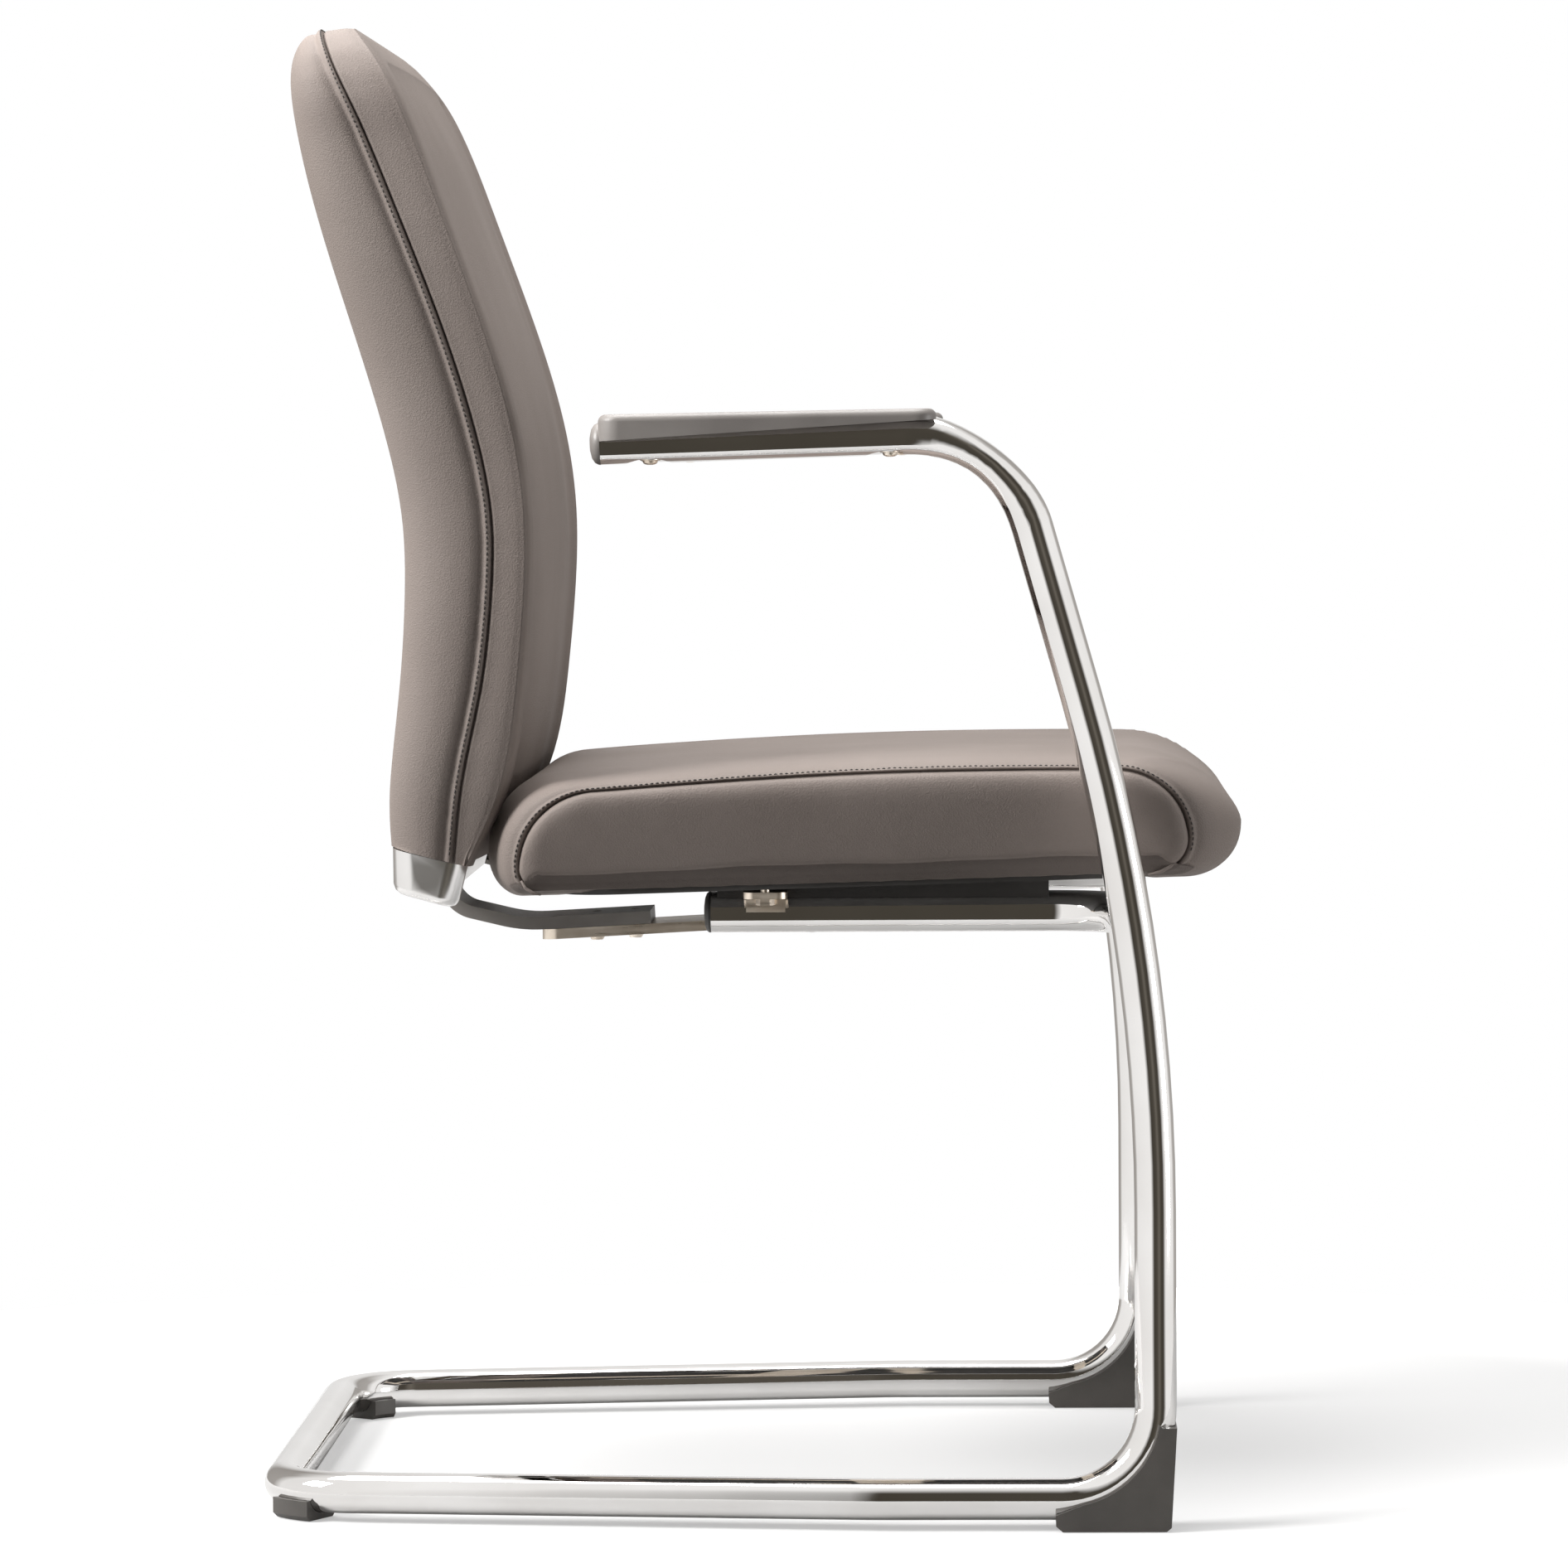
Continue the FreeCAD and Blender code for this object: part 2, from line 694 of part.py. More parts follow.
def back_front_wire(row):
    z, rear, seam, front, half = row
    hind = seam + seam_gap
    thick = front - hind

    def side(sign):
        return (Vector(hind, sign * half, z),
                Vector(hind + thick * 0.5, sign * (half - front_edge_inset * 0.3), z),
                Vector(hind + thick * 0.86, sign * (half - front_edge_inset * 0.8), z),
                Vector(front - thick * 0.04, sign * (half - front_edge_inset * 1.05), z),
                Vector(front, sign * (half - front_edge_inset * 1.5), z))

    return back_wire(side, back_front_bow)


def sloped_slab(first, last, low, high):
    # Everything between two heights above a line in side view
    (x0, z0), (x1, z1) = first, last
    return plate([(x0, z0 + low), (x1, z1 + low), (x1, z1 + high), (x0, z0 + high)], -back_reach, back_reach)


def back_board_solid(grow):
    # Bent plywood that follows the seam in side view
    wires = []
    for z, rear, seam, front, half in back_stations[back_board_rows]:
        edge = half - back_board_inset + grow
        face = seam + back_board_front + grow
        hind = seam + back_board_front - back_board_thickness - grow
        ahead = [Vector(face, -edge, z), Vector(face, edge, z)]
        points = ahead + [Vector(hind, edge, z), Vector(hind, -edge, z)]
        wires.append(Part.makePolygon(points + points[:1]))
    return Part.makeLoft(wires, True, True)


def back_board():
    return back_board_solid(0)


def back_rear_panel():
    panel = Part.makeLoft([back_rear_wire(row) for row in back_stations], True, True)
    panel = panel.cut(sloped_slab(back_cut_rear, back_cut_front, -80, 0))
    panel = panel.cut(back_board_solid(fit_gap))
    return largest(panel.cut(flat_bar(bar_width + 1, bar_thickness + 1)))


def back_front_cushion():
    cushion = Part.makeLoft([back_front_wire(row) for row in back_stations], True, True)
    cushion = cushion.cut(sloped_slab(back_cut_rear, back_cut_front, -80, 0))
    return largest(cushion.cut(back_board_solid(fit_gap)))


def trim_wire(level, inset):
    # Level section of the trim before it is tilted; its rear stays upright once it is
    rear = inset - level * math.tan(math.radians(trim_slope))
    front = trim_depth - inset
    half = trim_half_width + level * trim_flare - inset
    corner = trim_corner - inset
    middle = corner * (1 - math.sqrt(0.5))

    def side(sign):
        return (Vector(front, sign * (half - corner), level),
                Vector(front - middle, sign * (half - middle), level),
                Vector(front - corner, sign * half, level),
                Vector(rear + corner, sign * half, level),
                Vector(rear + middle, sign * (half - middle), level),
                Vector(rear, sign * (half - corner), level))

    r1, r2, r3, r4, r5, r6 = side(-1)
    l1, l2, l3, l4, l5, l6 = side(1)
    behind = Vector(rear - trim_bow, 0, level)
    return Part.Wire([Part.makeLine(r1, l1), arc(l1, l2, l3), Part.makeLine(l3, l4), arc(l4, l5, l6),
                      arc(l6, behind, r6), arc(r6, r5, r4), Part.makeLine(r4, r3), arc(r3, r2, r1)])


def back_trim():
    outside = Part.makeLoft([trim_wire(level, inset) for level, inset in trim_levels], True, True)
    inside = Part.makeLoft([trim_wire(level, trim_wall) for level in (trim_wall, 60)], True, True)
    shell = outside.cut(inside)
    shell.rotate(Vector(0, 0, 0), Vector(0, 1, 0), trim_slope)
    shell.translate(Vector(trim_rear_foot[0], 0, trim_rear_foot[1]))
    shell = shell.cut(sloped_slab(back_cut_rear, back_cut_front, -0.4, 80))
    # The front is open below a narrow lip, and the middle lets the bar in
    (x0, z0), (x1, z1) = back_cut_rear, back_cut_front
    fall = (z1 - z0) / (x1 - x0)
    lip = [(x, z0 + (x - x0) * fall - trim_lip_height) for x in (trim_open_x, trim_open_front)]
    half = trim_half_width - trim_lip_end
    opening = plate(lip + [(trim_open_front, trim_open_z), (trim_open_x, trim_open_z)], -half, half)
    bar_room = block((trim_bar_room[0], -bar_width / 2 - 3, trim_bar_room[1]),
                     (trim_open_front, bar_width / 2 + 3, trim_bar_room[2]))
    return largest(shell.cut([opening, bar_room]))


def write(name, shape):
    if len(shape.Solids) == 1:
        shape = shape.Solids[0]
    if not shape.isValid():
        print("not valid:", name)
    shape.exportStep("parts/" + name + ".step")
    box = shape.BoundBox
    print("%-24s solids %d  volume %8.0f  x %6.1f %6.1f  y %6.1f %6.1f  z %5.1f %5.1f" % (
        name, len(shape.Solids), shape.Volume, box.XMin, box.XMax, box.YMin, box.YMax, box.ZMin, box.ZMax))


os.makedirs("parts", exist_ok=True)

pieces = {
    "frame_tube": frame_tube,
    "arm_pads": arm_pads,
    "arm_end_plugs": arm_end_plugs,
    "front_shoes": front_shoes,
    "rear_glides": rear_glides,
    "seat_support_tubes": seat_support_tubes,
    "support_plugs": support_plugs,
    "packing_strips": packing_strips,
    "seat_lugs": seat_lugs,
    "seat_bolts": seat_bolts,
    "cross_bar": cross_bar,
    "back_tongue": back_tongue,
    "tongue_bolts": tongue_bolts,
    "back_bar": back_bar,
    "seat_under_cover": seat_under_cover,
    "seat_board": seat_board,
    "seat_cushion": seat_cushion,
    "back_board": back_board,
    "back_rear_panel": back_rear_panel,
    "back_front_cushion": back_front_cushion,
    "back_trim": back_trim,
}
for name, make in pieces.items():
    write(name, make())
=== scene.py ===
import json
import math

import bmesh
import bpy
import numpy as np
from mathutils import Matrix, Vector


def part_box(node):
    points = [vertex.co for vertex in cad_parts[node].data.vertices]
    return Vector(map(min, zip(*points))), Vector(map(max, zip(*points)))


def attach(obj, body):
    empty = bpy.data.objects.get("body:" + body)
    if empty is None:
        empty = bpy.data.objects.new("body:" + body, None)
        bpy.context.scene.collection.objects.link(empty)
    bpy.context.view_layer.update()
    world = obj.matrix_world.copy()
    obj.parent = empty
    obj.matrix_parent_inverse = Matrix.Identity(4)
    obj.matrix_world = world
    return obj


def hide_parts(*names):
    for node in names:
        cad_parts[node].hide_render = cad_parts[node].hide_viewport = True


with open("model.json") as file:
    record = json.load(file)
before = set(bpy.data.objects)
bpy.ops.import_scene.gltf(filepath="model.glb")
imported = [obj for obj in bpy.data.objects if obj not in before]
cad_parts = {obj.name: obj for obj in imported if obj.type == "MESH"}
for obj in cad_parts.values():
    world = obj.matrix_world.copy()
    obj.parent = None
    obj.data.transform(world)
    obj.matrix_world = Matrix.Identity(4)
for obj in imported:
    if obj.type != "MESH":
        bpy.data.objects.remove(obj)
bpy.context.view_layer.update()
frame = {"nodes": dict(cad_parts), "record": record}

# Visitor chair: metres, +X forward, +Y to the sitter's left, +Z up.
cadNodes = frame["nodes"]
print("frame loaded,", len(cadNodes), "nodes")


# Materials

def feed(tree, node, inputs):
    # each input takes a value, or a link from another node
    for name, value in inputs.items():
        if isinstance(value, bpy.types.NodeSocket):
            tree.links.new(value, node.inputs[name])
        else:
            node.inputs[name].default_value = value
    return node


def addNode(tree, kind, inputs=None, **settings):
    node = tree.nodes.new("ShaderNode" + kind)
    for name, value in settings.items():
        setattr(node, name, value)
    return feed(tree, node, inputs or {})


def mathNode(tree, operation, *values):
    return addNode(tree, "Math", dict(enumerate(values)), operation=operation).outputs["Value"]


def spread(tree, value, result, span=(0.3, 0.7), form="LINEAR"):
    # a span of the value taken over to the result's span
    names = ("From Min", "From Max", "To Min", "To Max")
    inputs = dict(zip(names, (*span, *result)), Value=value)
    return addNode(tree, "MapRange", inputs, interpolation_type=form).outputs["Result"]


def colourRamp(tree, value, stops):
    # each stop is a place from 0 to 1 and a colour
    node = addNode(tree, "ValToRGB", {"Fac": value})
    elements = node.color_ramp.elements
    while len(elements) < len(stops):
        elements.new(0.5)
    for element, (place, colour) in zip(elements, stops):
        element.position = place
        element.color = (*colour, 1)
    return node.outputs["Color"]


def surfaceNoise(tree, scale, detail, kind="TexNoise", stretch=None):
    # a texture in object space, so its scale is per metre
    source = addNode(tree, "TexCoord").outputs["Object"]
    if stretch:
        source = addNode(tree, "Mapping", {"Scale": stretch, "Vector": source}).outputs["Vector"]
    texture = addNode(tree, kind, {"Scale": scale, "Detail": detail, "Vector": source})
    return texture.outputs["Distance" if kind == "TexVoronoi" else "Fac"]


def mottled(tree, value, dark, light):
    return colourRamp(tree, value, ((0.35, dark), (0.65, light)))


def bumped(tree, height, strength, depth):
    inputs = {"Height": height, "Strength": strength, "Distance": depth}
    return addNode(tree, "Bump", inputs).outputs["Normal"]


def startMaterial(name, roughness, metallic=0.0):
    material = bpy.data.materials.new(name)
    material.use_nodes = True
    tree = material.node_tree
    shader = feed(tree, tree.nodes["Principled BSDF"], {"Roughness": roughness, "Metallic": metallic})
    return material, tree, shader


# in all finishes: noises as scale and detail, gloss as a span of roughness, bump as strength and depth
leather = dict(dark=(0.215, 0.180, 0.161), light=(0.252, 0.213, 0.192), patch=(6.0, 6.0), grain=(900.0, 3.0),
               pore=(2400.0, 2.0), poreShare=0.35, roughness=0.56, gloss=(0.50, 0.62), glossFrom=(0.1, 0.6),
               # the turned-in band under the side panels is this leatherette darkened by this share: painted
               # shade
               bump=(0.42, 0.0004), specular=0.22, liningPaintedShade=0.68)


def leatheretteFinish(name, darken=1.0):
    material, tree, shader = startMaterial(name, leather["roughness"])
    dark, light = ([c * darken for c in leather[k]] for k in ("dark", "light"))
    patches = surfaceNoise(tree, *leather["patch"])
    grain = surfaceNoise(tree, *leather["grain"], kind="TexVoronoi")
    pores = surfaceNoise(tree, *leather["pore"])
    height = mathNode(tree, "MULTIPLY_ADD", pores, leather["poreShare"], grain)
    feed(tree, shader, {"Base Color": mottled(tree, patches, dark, light),
                        "Roughness": spread(tree, grain, leather["gloss"], leather["glossFrom"]),
                        "Normal": bumped(tree, height, *leather["bump"]),
                        "Specular IOR Level": leather["specular"]})
    return material


chrome = dict(dark=(0.80, 0.785, 0.77), light=(0.87, 0.86, 0.85), haze=(14.0, 5.0), wave=(9.0, 1.0),
              bump=(0.06, 0.01), bright=(0.03, 0.075), soft=(0.19, 0.24))


def chromeFinish(name, gloss):
    material, tree, shader = startMaterial(name, gloss[0], 1.0)
    haze = surfaceNoise(tree, *chrome["haze"])
    wave = surfaceNoise(tree, *chrome["wave"])
    feed(tree, shader, {"Base Color": mottled(tree, haze, chrome["dark"], chrome["light"]),
                        "Roughness": spread(tree, haze, gloss),
                        "Normal": bumped(tree, wave, *chrome["bump"])})
    return material


plastic = dict(tint=(22.0, 5.0), relief=(1500.0, 2.0), bump=(0.18, 0.0003))
looks = dict(
    zinc_plate=dict(dark=(0.72, 0.62, 0.51), light=(0.94, 0.85, 0.74), tint=(30.0, 6.0), relief=(320.0, 3.0),
                    stretch=(0.08, 1.0, 1.0), roughness=0.34, metallic=1.0, gloss=(0.24, 0.42),
                    bump=(0.15, 0.0003)),
    dark_powder_coat=dict(dark=(0.215, 0.198, 0.184), light=(0.290, 0.270, 0.250), tint=(18.0, 4.0),
                          relief=(700.0, 2.0), roughness=0.42, gloss=(0.36, 0.50), bump=(0.12, 0.0004)),
    grey_plastic=dict(plastic, dark=(0.058, 0.053, 0.048), light=(0.080, 0.073, 0.066), roughness=0.44,
                      gloss=(0.37, 0.52)),
    black_plastic=dict(plastic, dark=(0.036, 0.034, 0.032), light=(0.056, 0.053, 0.050), roughness=0.45,
                       gloss=(0.38, 0.53)),
    # the pads' plastic is the grey plastic made lighter: painted light from above on the arm pads and end
    # plugs
    pad_plastic_painted_light=dict(plastic, dark=(0.205, 0.187, 0.175), light=(0.250, 0.230, 0.215), roughness=0.40,
                     gloss=(0.33, 0.48)),
    raw_plywood=dict(dark=(0.38, 0.25, 0.14), light=(0.60, 0.44, 0.28), relief=(60.0, 6.0),
                     stretch=(0.12, 1.0, 1.0), roughness=0.7, bump=(0.2, 0.0005)),
    stitch_thread=dict(dark=(0.022, 0.018, 0.016), light=(0.060, 0.050, 0.044), relief=(2200.0, 1.0),
                       stretch=(1.0, 0.4, 1.0), roughness=0.6, bump=(0.3, 0.0002)),
)


def plainFinish(name):
    # a mottled colour and a relief that may vary the gloss; without a tint of its own, the relief mottles
    look = looks[name]
    material, tree, shader = startMaterial(name, look["roughness"], look.get("metallic", 0.0))
    relief = surfaceNoise(tree, *look["relief"], stretch=look.get("stretch"))
    tint = surfaceNoise(tree, *look["tint"]) if "tint" in look else relief
    feed(tree, shader, {"Base Color": mottled(tree, tint, look["dark"], look["light"]),
                        "Normal": bumped(tree, relief, *look["bump"])})
    if "gloss" in look:
        feed(tree, shader, {"Roughness": spread(tree, relief, look["gloss"])})
    return material


plainSlots = dict(plated_steel="zinc_plate", dark_paint="dark_powder_coat", grey_plastic="grey_plastic",
                  black_plastic="black_plastic", plywood="raw_plywood")
finishes = {slotName: plainFinish(name) for slotName, name in plainSlots.items()}
finishes["chrome"] = chromeFinish("bright_chrome", chrome["bright"])
finishes["leatherette"] = leatheretteFinish("leatherette")
thread = plainFinish("stitch_thread")
# a lighter copy of the grey plastic for the arm pads and end plugs: painted light from above
litPadPlastic = plainFinish("pad_plastic_painted_light")
softChrome = chromeFinish("soft_chrome", chrome["soft"])
ownFinish = {"arm_pads": litPadPlastic, "arm_end_plugs": litPadPlastic, "back_trim": softChrome}


def dressNodes():
    for part in frame["record"]["subparts"]:
        node = cadNodes[part["node"]]
        node.data.materials.clear()
        node.data.materials.append(ownFinish.get(part["node"], finishes[part["material_slot"]]))


sharpAngles = dict(frame_tube=40.0, seat_support_tubes=40.0, arm_end_plugs=40.0, support_plugs=40.0,
                   arm_pads=40.0, back_trim=62.0)


def smoothShading(nodeName, sharpAngle):
    # average the normals of faces that meet at a soft angle, so that bends shade as one surface
    mesh = cadNodes[nodeName].data
    places = [tuple(round(c, 6) for c in v.co) for v in mesh.vertices]
    meeting = {}
    for face in mesh.polygons:
        ring = [mesh.vertices[v].co for v in face.vertices]
        for i, vertex in enumerate(face.vertices):
            first = ring[i - 1] - ring[i]
            second = ring[(i + 1) % len(ring)] - ring[i]
            angle = first.angle(second, 0.0)
            meeting.setdefault(places[vertex], []).append((face.normal.copy(), angle))
    limit = math.cos(math.radians(sharpAngle))
    corners = []
    for face in mesh.polygons:
        for vertex in face.vertices:
            total = Vector((0.0, 0.0, 0.0))
            for normal, angle in meeting[places[vertex]]:
                if normal.dot(face.normal) > limit:
                    total += normal * angle
            corners.append(total.normalized() if total.length > 0 else face.normal.copy())
    mesh.polygons.foreach_set("use_smooth", [True] * len(mesh.polygons))
    mesh.normals_split_custom_set(corners)


dressNodes()
for nodeName, sharpAngle in sharpAngles.items():
    smoothShading(nodeName, sharpAngle)


# Mesh helpers

def addObject(name, data):
    thing = bpy.data.objects.new(name, data)
    bpy.context.scene.collection.objects.link(thing)
    return thing


weldDistance = 2e-5


def newPiece(name, points, faces, material):
    mesh = bpy.data.meshes.new(name)
    mesh.from_pydata([tuple(p) for p in points], [], faces)
    body = bmesh.new()
    body.from_mesh(mesh)
    bmesh.ops.remove_doubles(body, verts=body.verts, dist=weldDistance)
    bmesh.ops.recalc_face_normals(body, faces=body.faces)
    body.to_mesh(mesh)
    body.free()
    mesh.polygons.foreach_set("use_smooth", [True] * len(mesh.polygons))
    piece = addObject(name, mesh)
    mesh.materials.append(material)
    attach(piece, "root")
    return piece


def gridFaces(rows, cols, start=0, wrap=False):
    faces = []
    for r in range(rows - 1):
        for c in range(cols if wrap else cols - 1):
            a = start + r * cols + c
            b = start + r * cols + (c + 1) % cols
            faces.append((a, b, b + cols, a + cols))
    return faces


def ringAround(centre, across, up, radius, sides):
    turns = [2 * math.pi * k / sides for k in range(sides)]
    return [centre + (across * math.cos(t) + up * math.sin(t)) * radius for t in turns]


def tubeFaces(rings, sides, start=0):
    # the wall and the two closed ends of a row of rings
    ends = [tuple(range(first, first + sides)) for first in (start, start + (rings - 1) * sides)]
    return gridFaces(rings, sides, start, True) + ends


def smoothThrough(knots, values):
    # natural cubic spline through a few stations
    x = np.array(knots, float)
    y = np.array(values, float)
    n = len(x)
    h = np.diff(x)
    system = np.eye(n)
    right = np.zeros(n)
    for i in range(1, n - 1):
        system[i, i - 1:i + 2] = h[i - 1], 2 * (h[i - 1] + h[i]), h[i]
        right[i] = 6 * ((y[i + 1] - y[i]) / h[i] - (y[i] - y[i - 1]) / h[i - 1])
    bend = np.linalg.solve(system, right)

    def at(value):
        v = np.clip(value, x[0], x[-1])
        i = np.clip(np.searchsorted(x, v) - 1, 0, n - 2)
        a = (x[i + 1] - v) / h[i]
        b = (v - x[i]) / h[i]
        return a * y[i] + b * y[i + 1] + ((a ** 3 - a) * bend[i] + (b ** 3 - b) * bend[i + 1]) * h[i] ** 2 / 6

    return at


def lengthsAlong(line):
    # distance of each point of a polyline from its start
    return np.concatenate([[0], np.cumsum(np.linalg.norm(np.diff(line, axis=0), axis=1))])


def valuesAlong(values, steps, distances):
    # rows of three values, read between the steps at given distances
    return np.stack([np.interp(distances, steps, values[:, k]) for k in range(3)], axis=-1)


def surfaceNormals(grid, wrap):
    # normals of a grid of points: rows away from the seam, columns along it
    along = np.roll(grid, -1, axis=1) - np.roll(grid, 1, axis=1)
    if not wrap:
        along[:, 0] = grid[:, 1] - grid[:, 0]
        along[:, -1] = grid[:, -1] - grid[:, -2]
    across = np.gradient(grid, axis=0)
    normal = np.cross(along, across)
    return normal / np.maximum(np.linalg.norm(normal, axis=2, keepdims=True), 1e-9)


def smoothBetween(spots, values, count):
    # values at whole steps, on a smooth curve through those at the spots
    curve = smoothThrough(list(spots), list(values))
    return [float(curve(i)) for i in range(count)]


# Cloth: a cover held along its border swells under a little air pressure, and the form it takes is kept
cloth = dict(vertex_group_mass="held", mass=0.30, tension_stiffness=15.0, compression_stiffness=15.0,
             bending_stiffness=2.0, use_pressure=True, uniform_pressure_force=4.0)
clothFrames = 20


def inflate(sheet, outwardDirection):
    # how far the points of a sheet move in the simulation; the sheet itself is removed afterwards
    tall, wide = sheet.shape[:2]
    mesh = bpy.data.meshes.new("cover")
    mesh.from_pydata([tuple(p) for p in sheet.reshape(-1, 3)], [], gridFaces(tall, wide))
    if sum(np.dot(polygon.normal, outwardDirection) for polygon in mesh.polygons) < 0:
        mesh.flip_normals()
    cover = addObject("cover", mesh)
    border = [i for i in range(tall * wide) if i // wide in (0, tall - 1) or i % wide in (0, wide - 1)]
    cover.vertex_groups.new(name=cloth["vertex_group_mass"]).add(border, 1.0, "REPLACE")
    modifier = cover.modifiers.new("cover", "CLOTH")
    for setting, value in cloth.items():
        setattr(modifier.settings, setting, value)
    modifier.settings.effector_weights.gravity = 0
    modifier.collision_settings.use_collision = False
    modifier.point_cache.frame_start = 1
    modifier.point_cache.frame_end = clothFrames
    for number in range(1, clothFrames + 1):
        bpy.context.scene.frame_set(number)
    solved = cover.evaluated_get(bpy.context.evaluated_depsgraph_get()).to_mesh()
    moved = np.array([tuple(v.co) for v in solved.vertices]).reshape(sheet.shape) - sheet
    bpy.data.objects.remove(cover)
    bpy.data.meshes.remove(mesh)
    bpy.context.scene.frame_set(1)
    return moved


def swell(grid, rows, cols, outwardDirection, cap):
    # the moves of all points of a grid, simulated on the chosen rows and columns and scaled to the cap
    moves = np.zeros(grid.shape)
    moved = inflate(grid[np.ix_(rows, cols)], outwardDirection)
    most = np.linalg.norm(moved, axis=2).max()
    print("cover swelled by", round(most * 1000, 2), "mm before the cap of", round(cap * 1000, 1))
    moved *= min(1.0, cap / max(most, 1e-9))
    # spread the moves over all rows and columns
    tall, wide = grid.shape[:2]
    part = np.zeros((tall, len(cols), 3))
    for k in range(3):
        for c in range(len(cols)):
            part[:, c, k] = smoothBetween(rows, moved[:, c, k], tall)
        for r in range(tall):
            moves[r, :, k] = smoothBetween(cols, part[r, :, k], wide)
    return moves


# Seams: a groove, a strip of folded leatherette beside it and a row of stitches on that strip
seam = dict(
    rows=(0, 0.0006, 0.0012, 0.0020, 0.0031, 0.0040, 0.0047, 0.0056, 0.0068, 0.0085, 0.0110, 0.0145, 0.019,
          0.025),
    groove=0.0030, grooveWidth=0.0010, valleyWidth=0.013, strip=0.0008, stripWidth=0.0046, stripEdge=0.00035,
    dip=0.0004, dipShare=0.5, dipAfter=0.0022, dipWidth=0.0026, reach=0.06,
    puckers=0.00030, puckerReach=0.012, puckerStart=0.004, puckerLength=0.021, puckerWander=(2.0, 37.0))


def seamLift(distance, along, stitched, valley):
    # height off the plain surface at a distance from the seam, with faint puckers along it
    lift = -seam["groove"] * math.exp(-(distance / seam["grooveWidth"]) ** 2)
    lift -= valley * math.exp(-(distance / seam["valleyWidth"]) ** 2)
    if stitched:
        lift += seam["strip"] / (1 + math.exp((distance - seam["stripWidth"]) / seam["stripEdge"]))
        beyond = (distance - seam["stripWidth"] - seam["dipAfter"]) / seam["dipWidth"]
        lift -= (seam["dip"] + seam["dipShare"] * valley) * math.exp(-beyond ** 2)
    fade = math.exp(-distance / seam["puckerReach"]) * min(1.0, distance / seam["puckerStart"])
    wander, rate = seam["puckerWander"]
    phase = along * 2 * math.pi / seam["puckerLength"] + wander * math.sin(along * rate)
    return lift + seam["puckers"] * fade * math.sin(phase)


# girth and height of a stitch, as shares of its radius: at its ends, and what its middle adds
stitches = dict(length=0.0023, gap=0.0010, radius=0.00046, row=0.0031, rings=5, sides=6, lead=0.0005,
                girth=(0.55, 0.45), height=(-0.5, 1.1))


def stitchLine(grid, normals):
    # the line of the stitches between two rows of a grid, and the way up along it
    at = np.interp(stitches["row"], seam["rows"], range(len(seam["rows"])))
    low = int(at)
    return grid[low] * (1 - at + low) + grid[low + 1] * (at - low), normals[low]


def stitchRow(name, points, ups):
    # short threads laid end to end, each dipping into the leatherette at both ends
    steps = lengthsAlong(points)
    pitch = stitches["length"] + stitches["gap"]
    rings, sides = stitches["rings"], stitches["sides"]
    verts = []
    faces = []
    for number in range(int(steps[-1] / pitch)):
        base = len(verts)
        for ring in range(rings):
            share = ring / (rings - 1)
            place = number * pitch + stitches["length"] * share
            at, ahead = valuesAlong(points, steps, (place, place + stitches["lead"]))
            up = valuesAlong(ups, steps, place)
            up /= max(np.linalg.norm(up), 1e-9)
            across = np.cross(ahead - at, up)
            across /= max(np.linalg.norm(across), 1e-9)
            bulge = math.sin(math.pi * share)
            radius = stitches["radius"] * (stitches["girth"][0] + stitches["girth"][1] * bulge)
            centre = at + up * (stitches["radius"] * (stitches["height"][1] * bulge + stitches["height"][0]))
            verts += ringAround(centre, across, up, radius, sides)
        faces += tubeFaces(rings, sides, base)
    return newPiece(name, verts, faces, thread)


# Seat: a centre panel that wraps over the top, front, rear and underside, and two side panels
seatLow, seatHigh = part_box("seat_cushion")
seat = dict(
    rearX=-0.164, frontX=seatHigh[0] - 0.0015, lowRear=seatLow[2], lowFront=seatLow[2] + 0.010,
    topRear=0.4537, topFront=0.4650, crown=0.0038, flatY=0.150, seamY=0.238,
    # how far the edges draw in at the side seam
    drawRear=0.024, drawFront=0.035, drawLow=0.0085, drawTop=0.005,
    # sizes in the middle of the seat and at the side seam
    rearRound=(0.042, 0.050), frontRound=(0.066, 0.044), underRear=(0.022, 0.008), underFront=(0.034, 0.016),
    nose=(0.42, 0.31), tail=(0.36, 0.20), noseShape=(1.7, 2.0),
    endCount=16, flatCount=40, fineCount=161, innerRows=20, rowStep=2, columnStep=3, stitchesPast=5,
    swell=0.0025, shoulder=0.0022, shoulderWidth=0.0060, valley=0.0006,
    creaseFrom=(0.232, 0.236), creaseTo=(0.292, 0.105), creaseHeight=0.0013, creaseWidth=0.0045,
    taper=0.0100, taperFrom=0.008, taperHeight=0.052, taperPower=1.1)


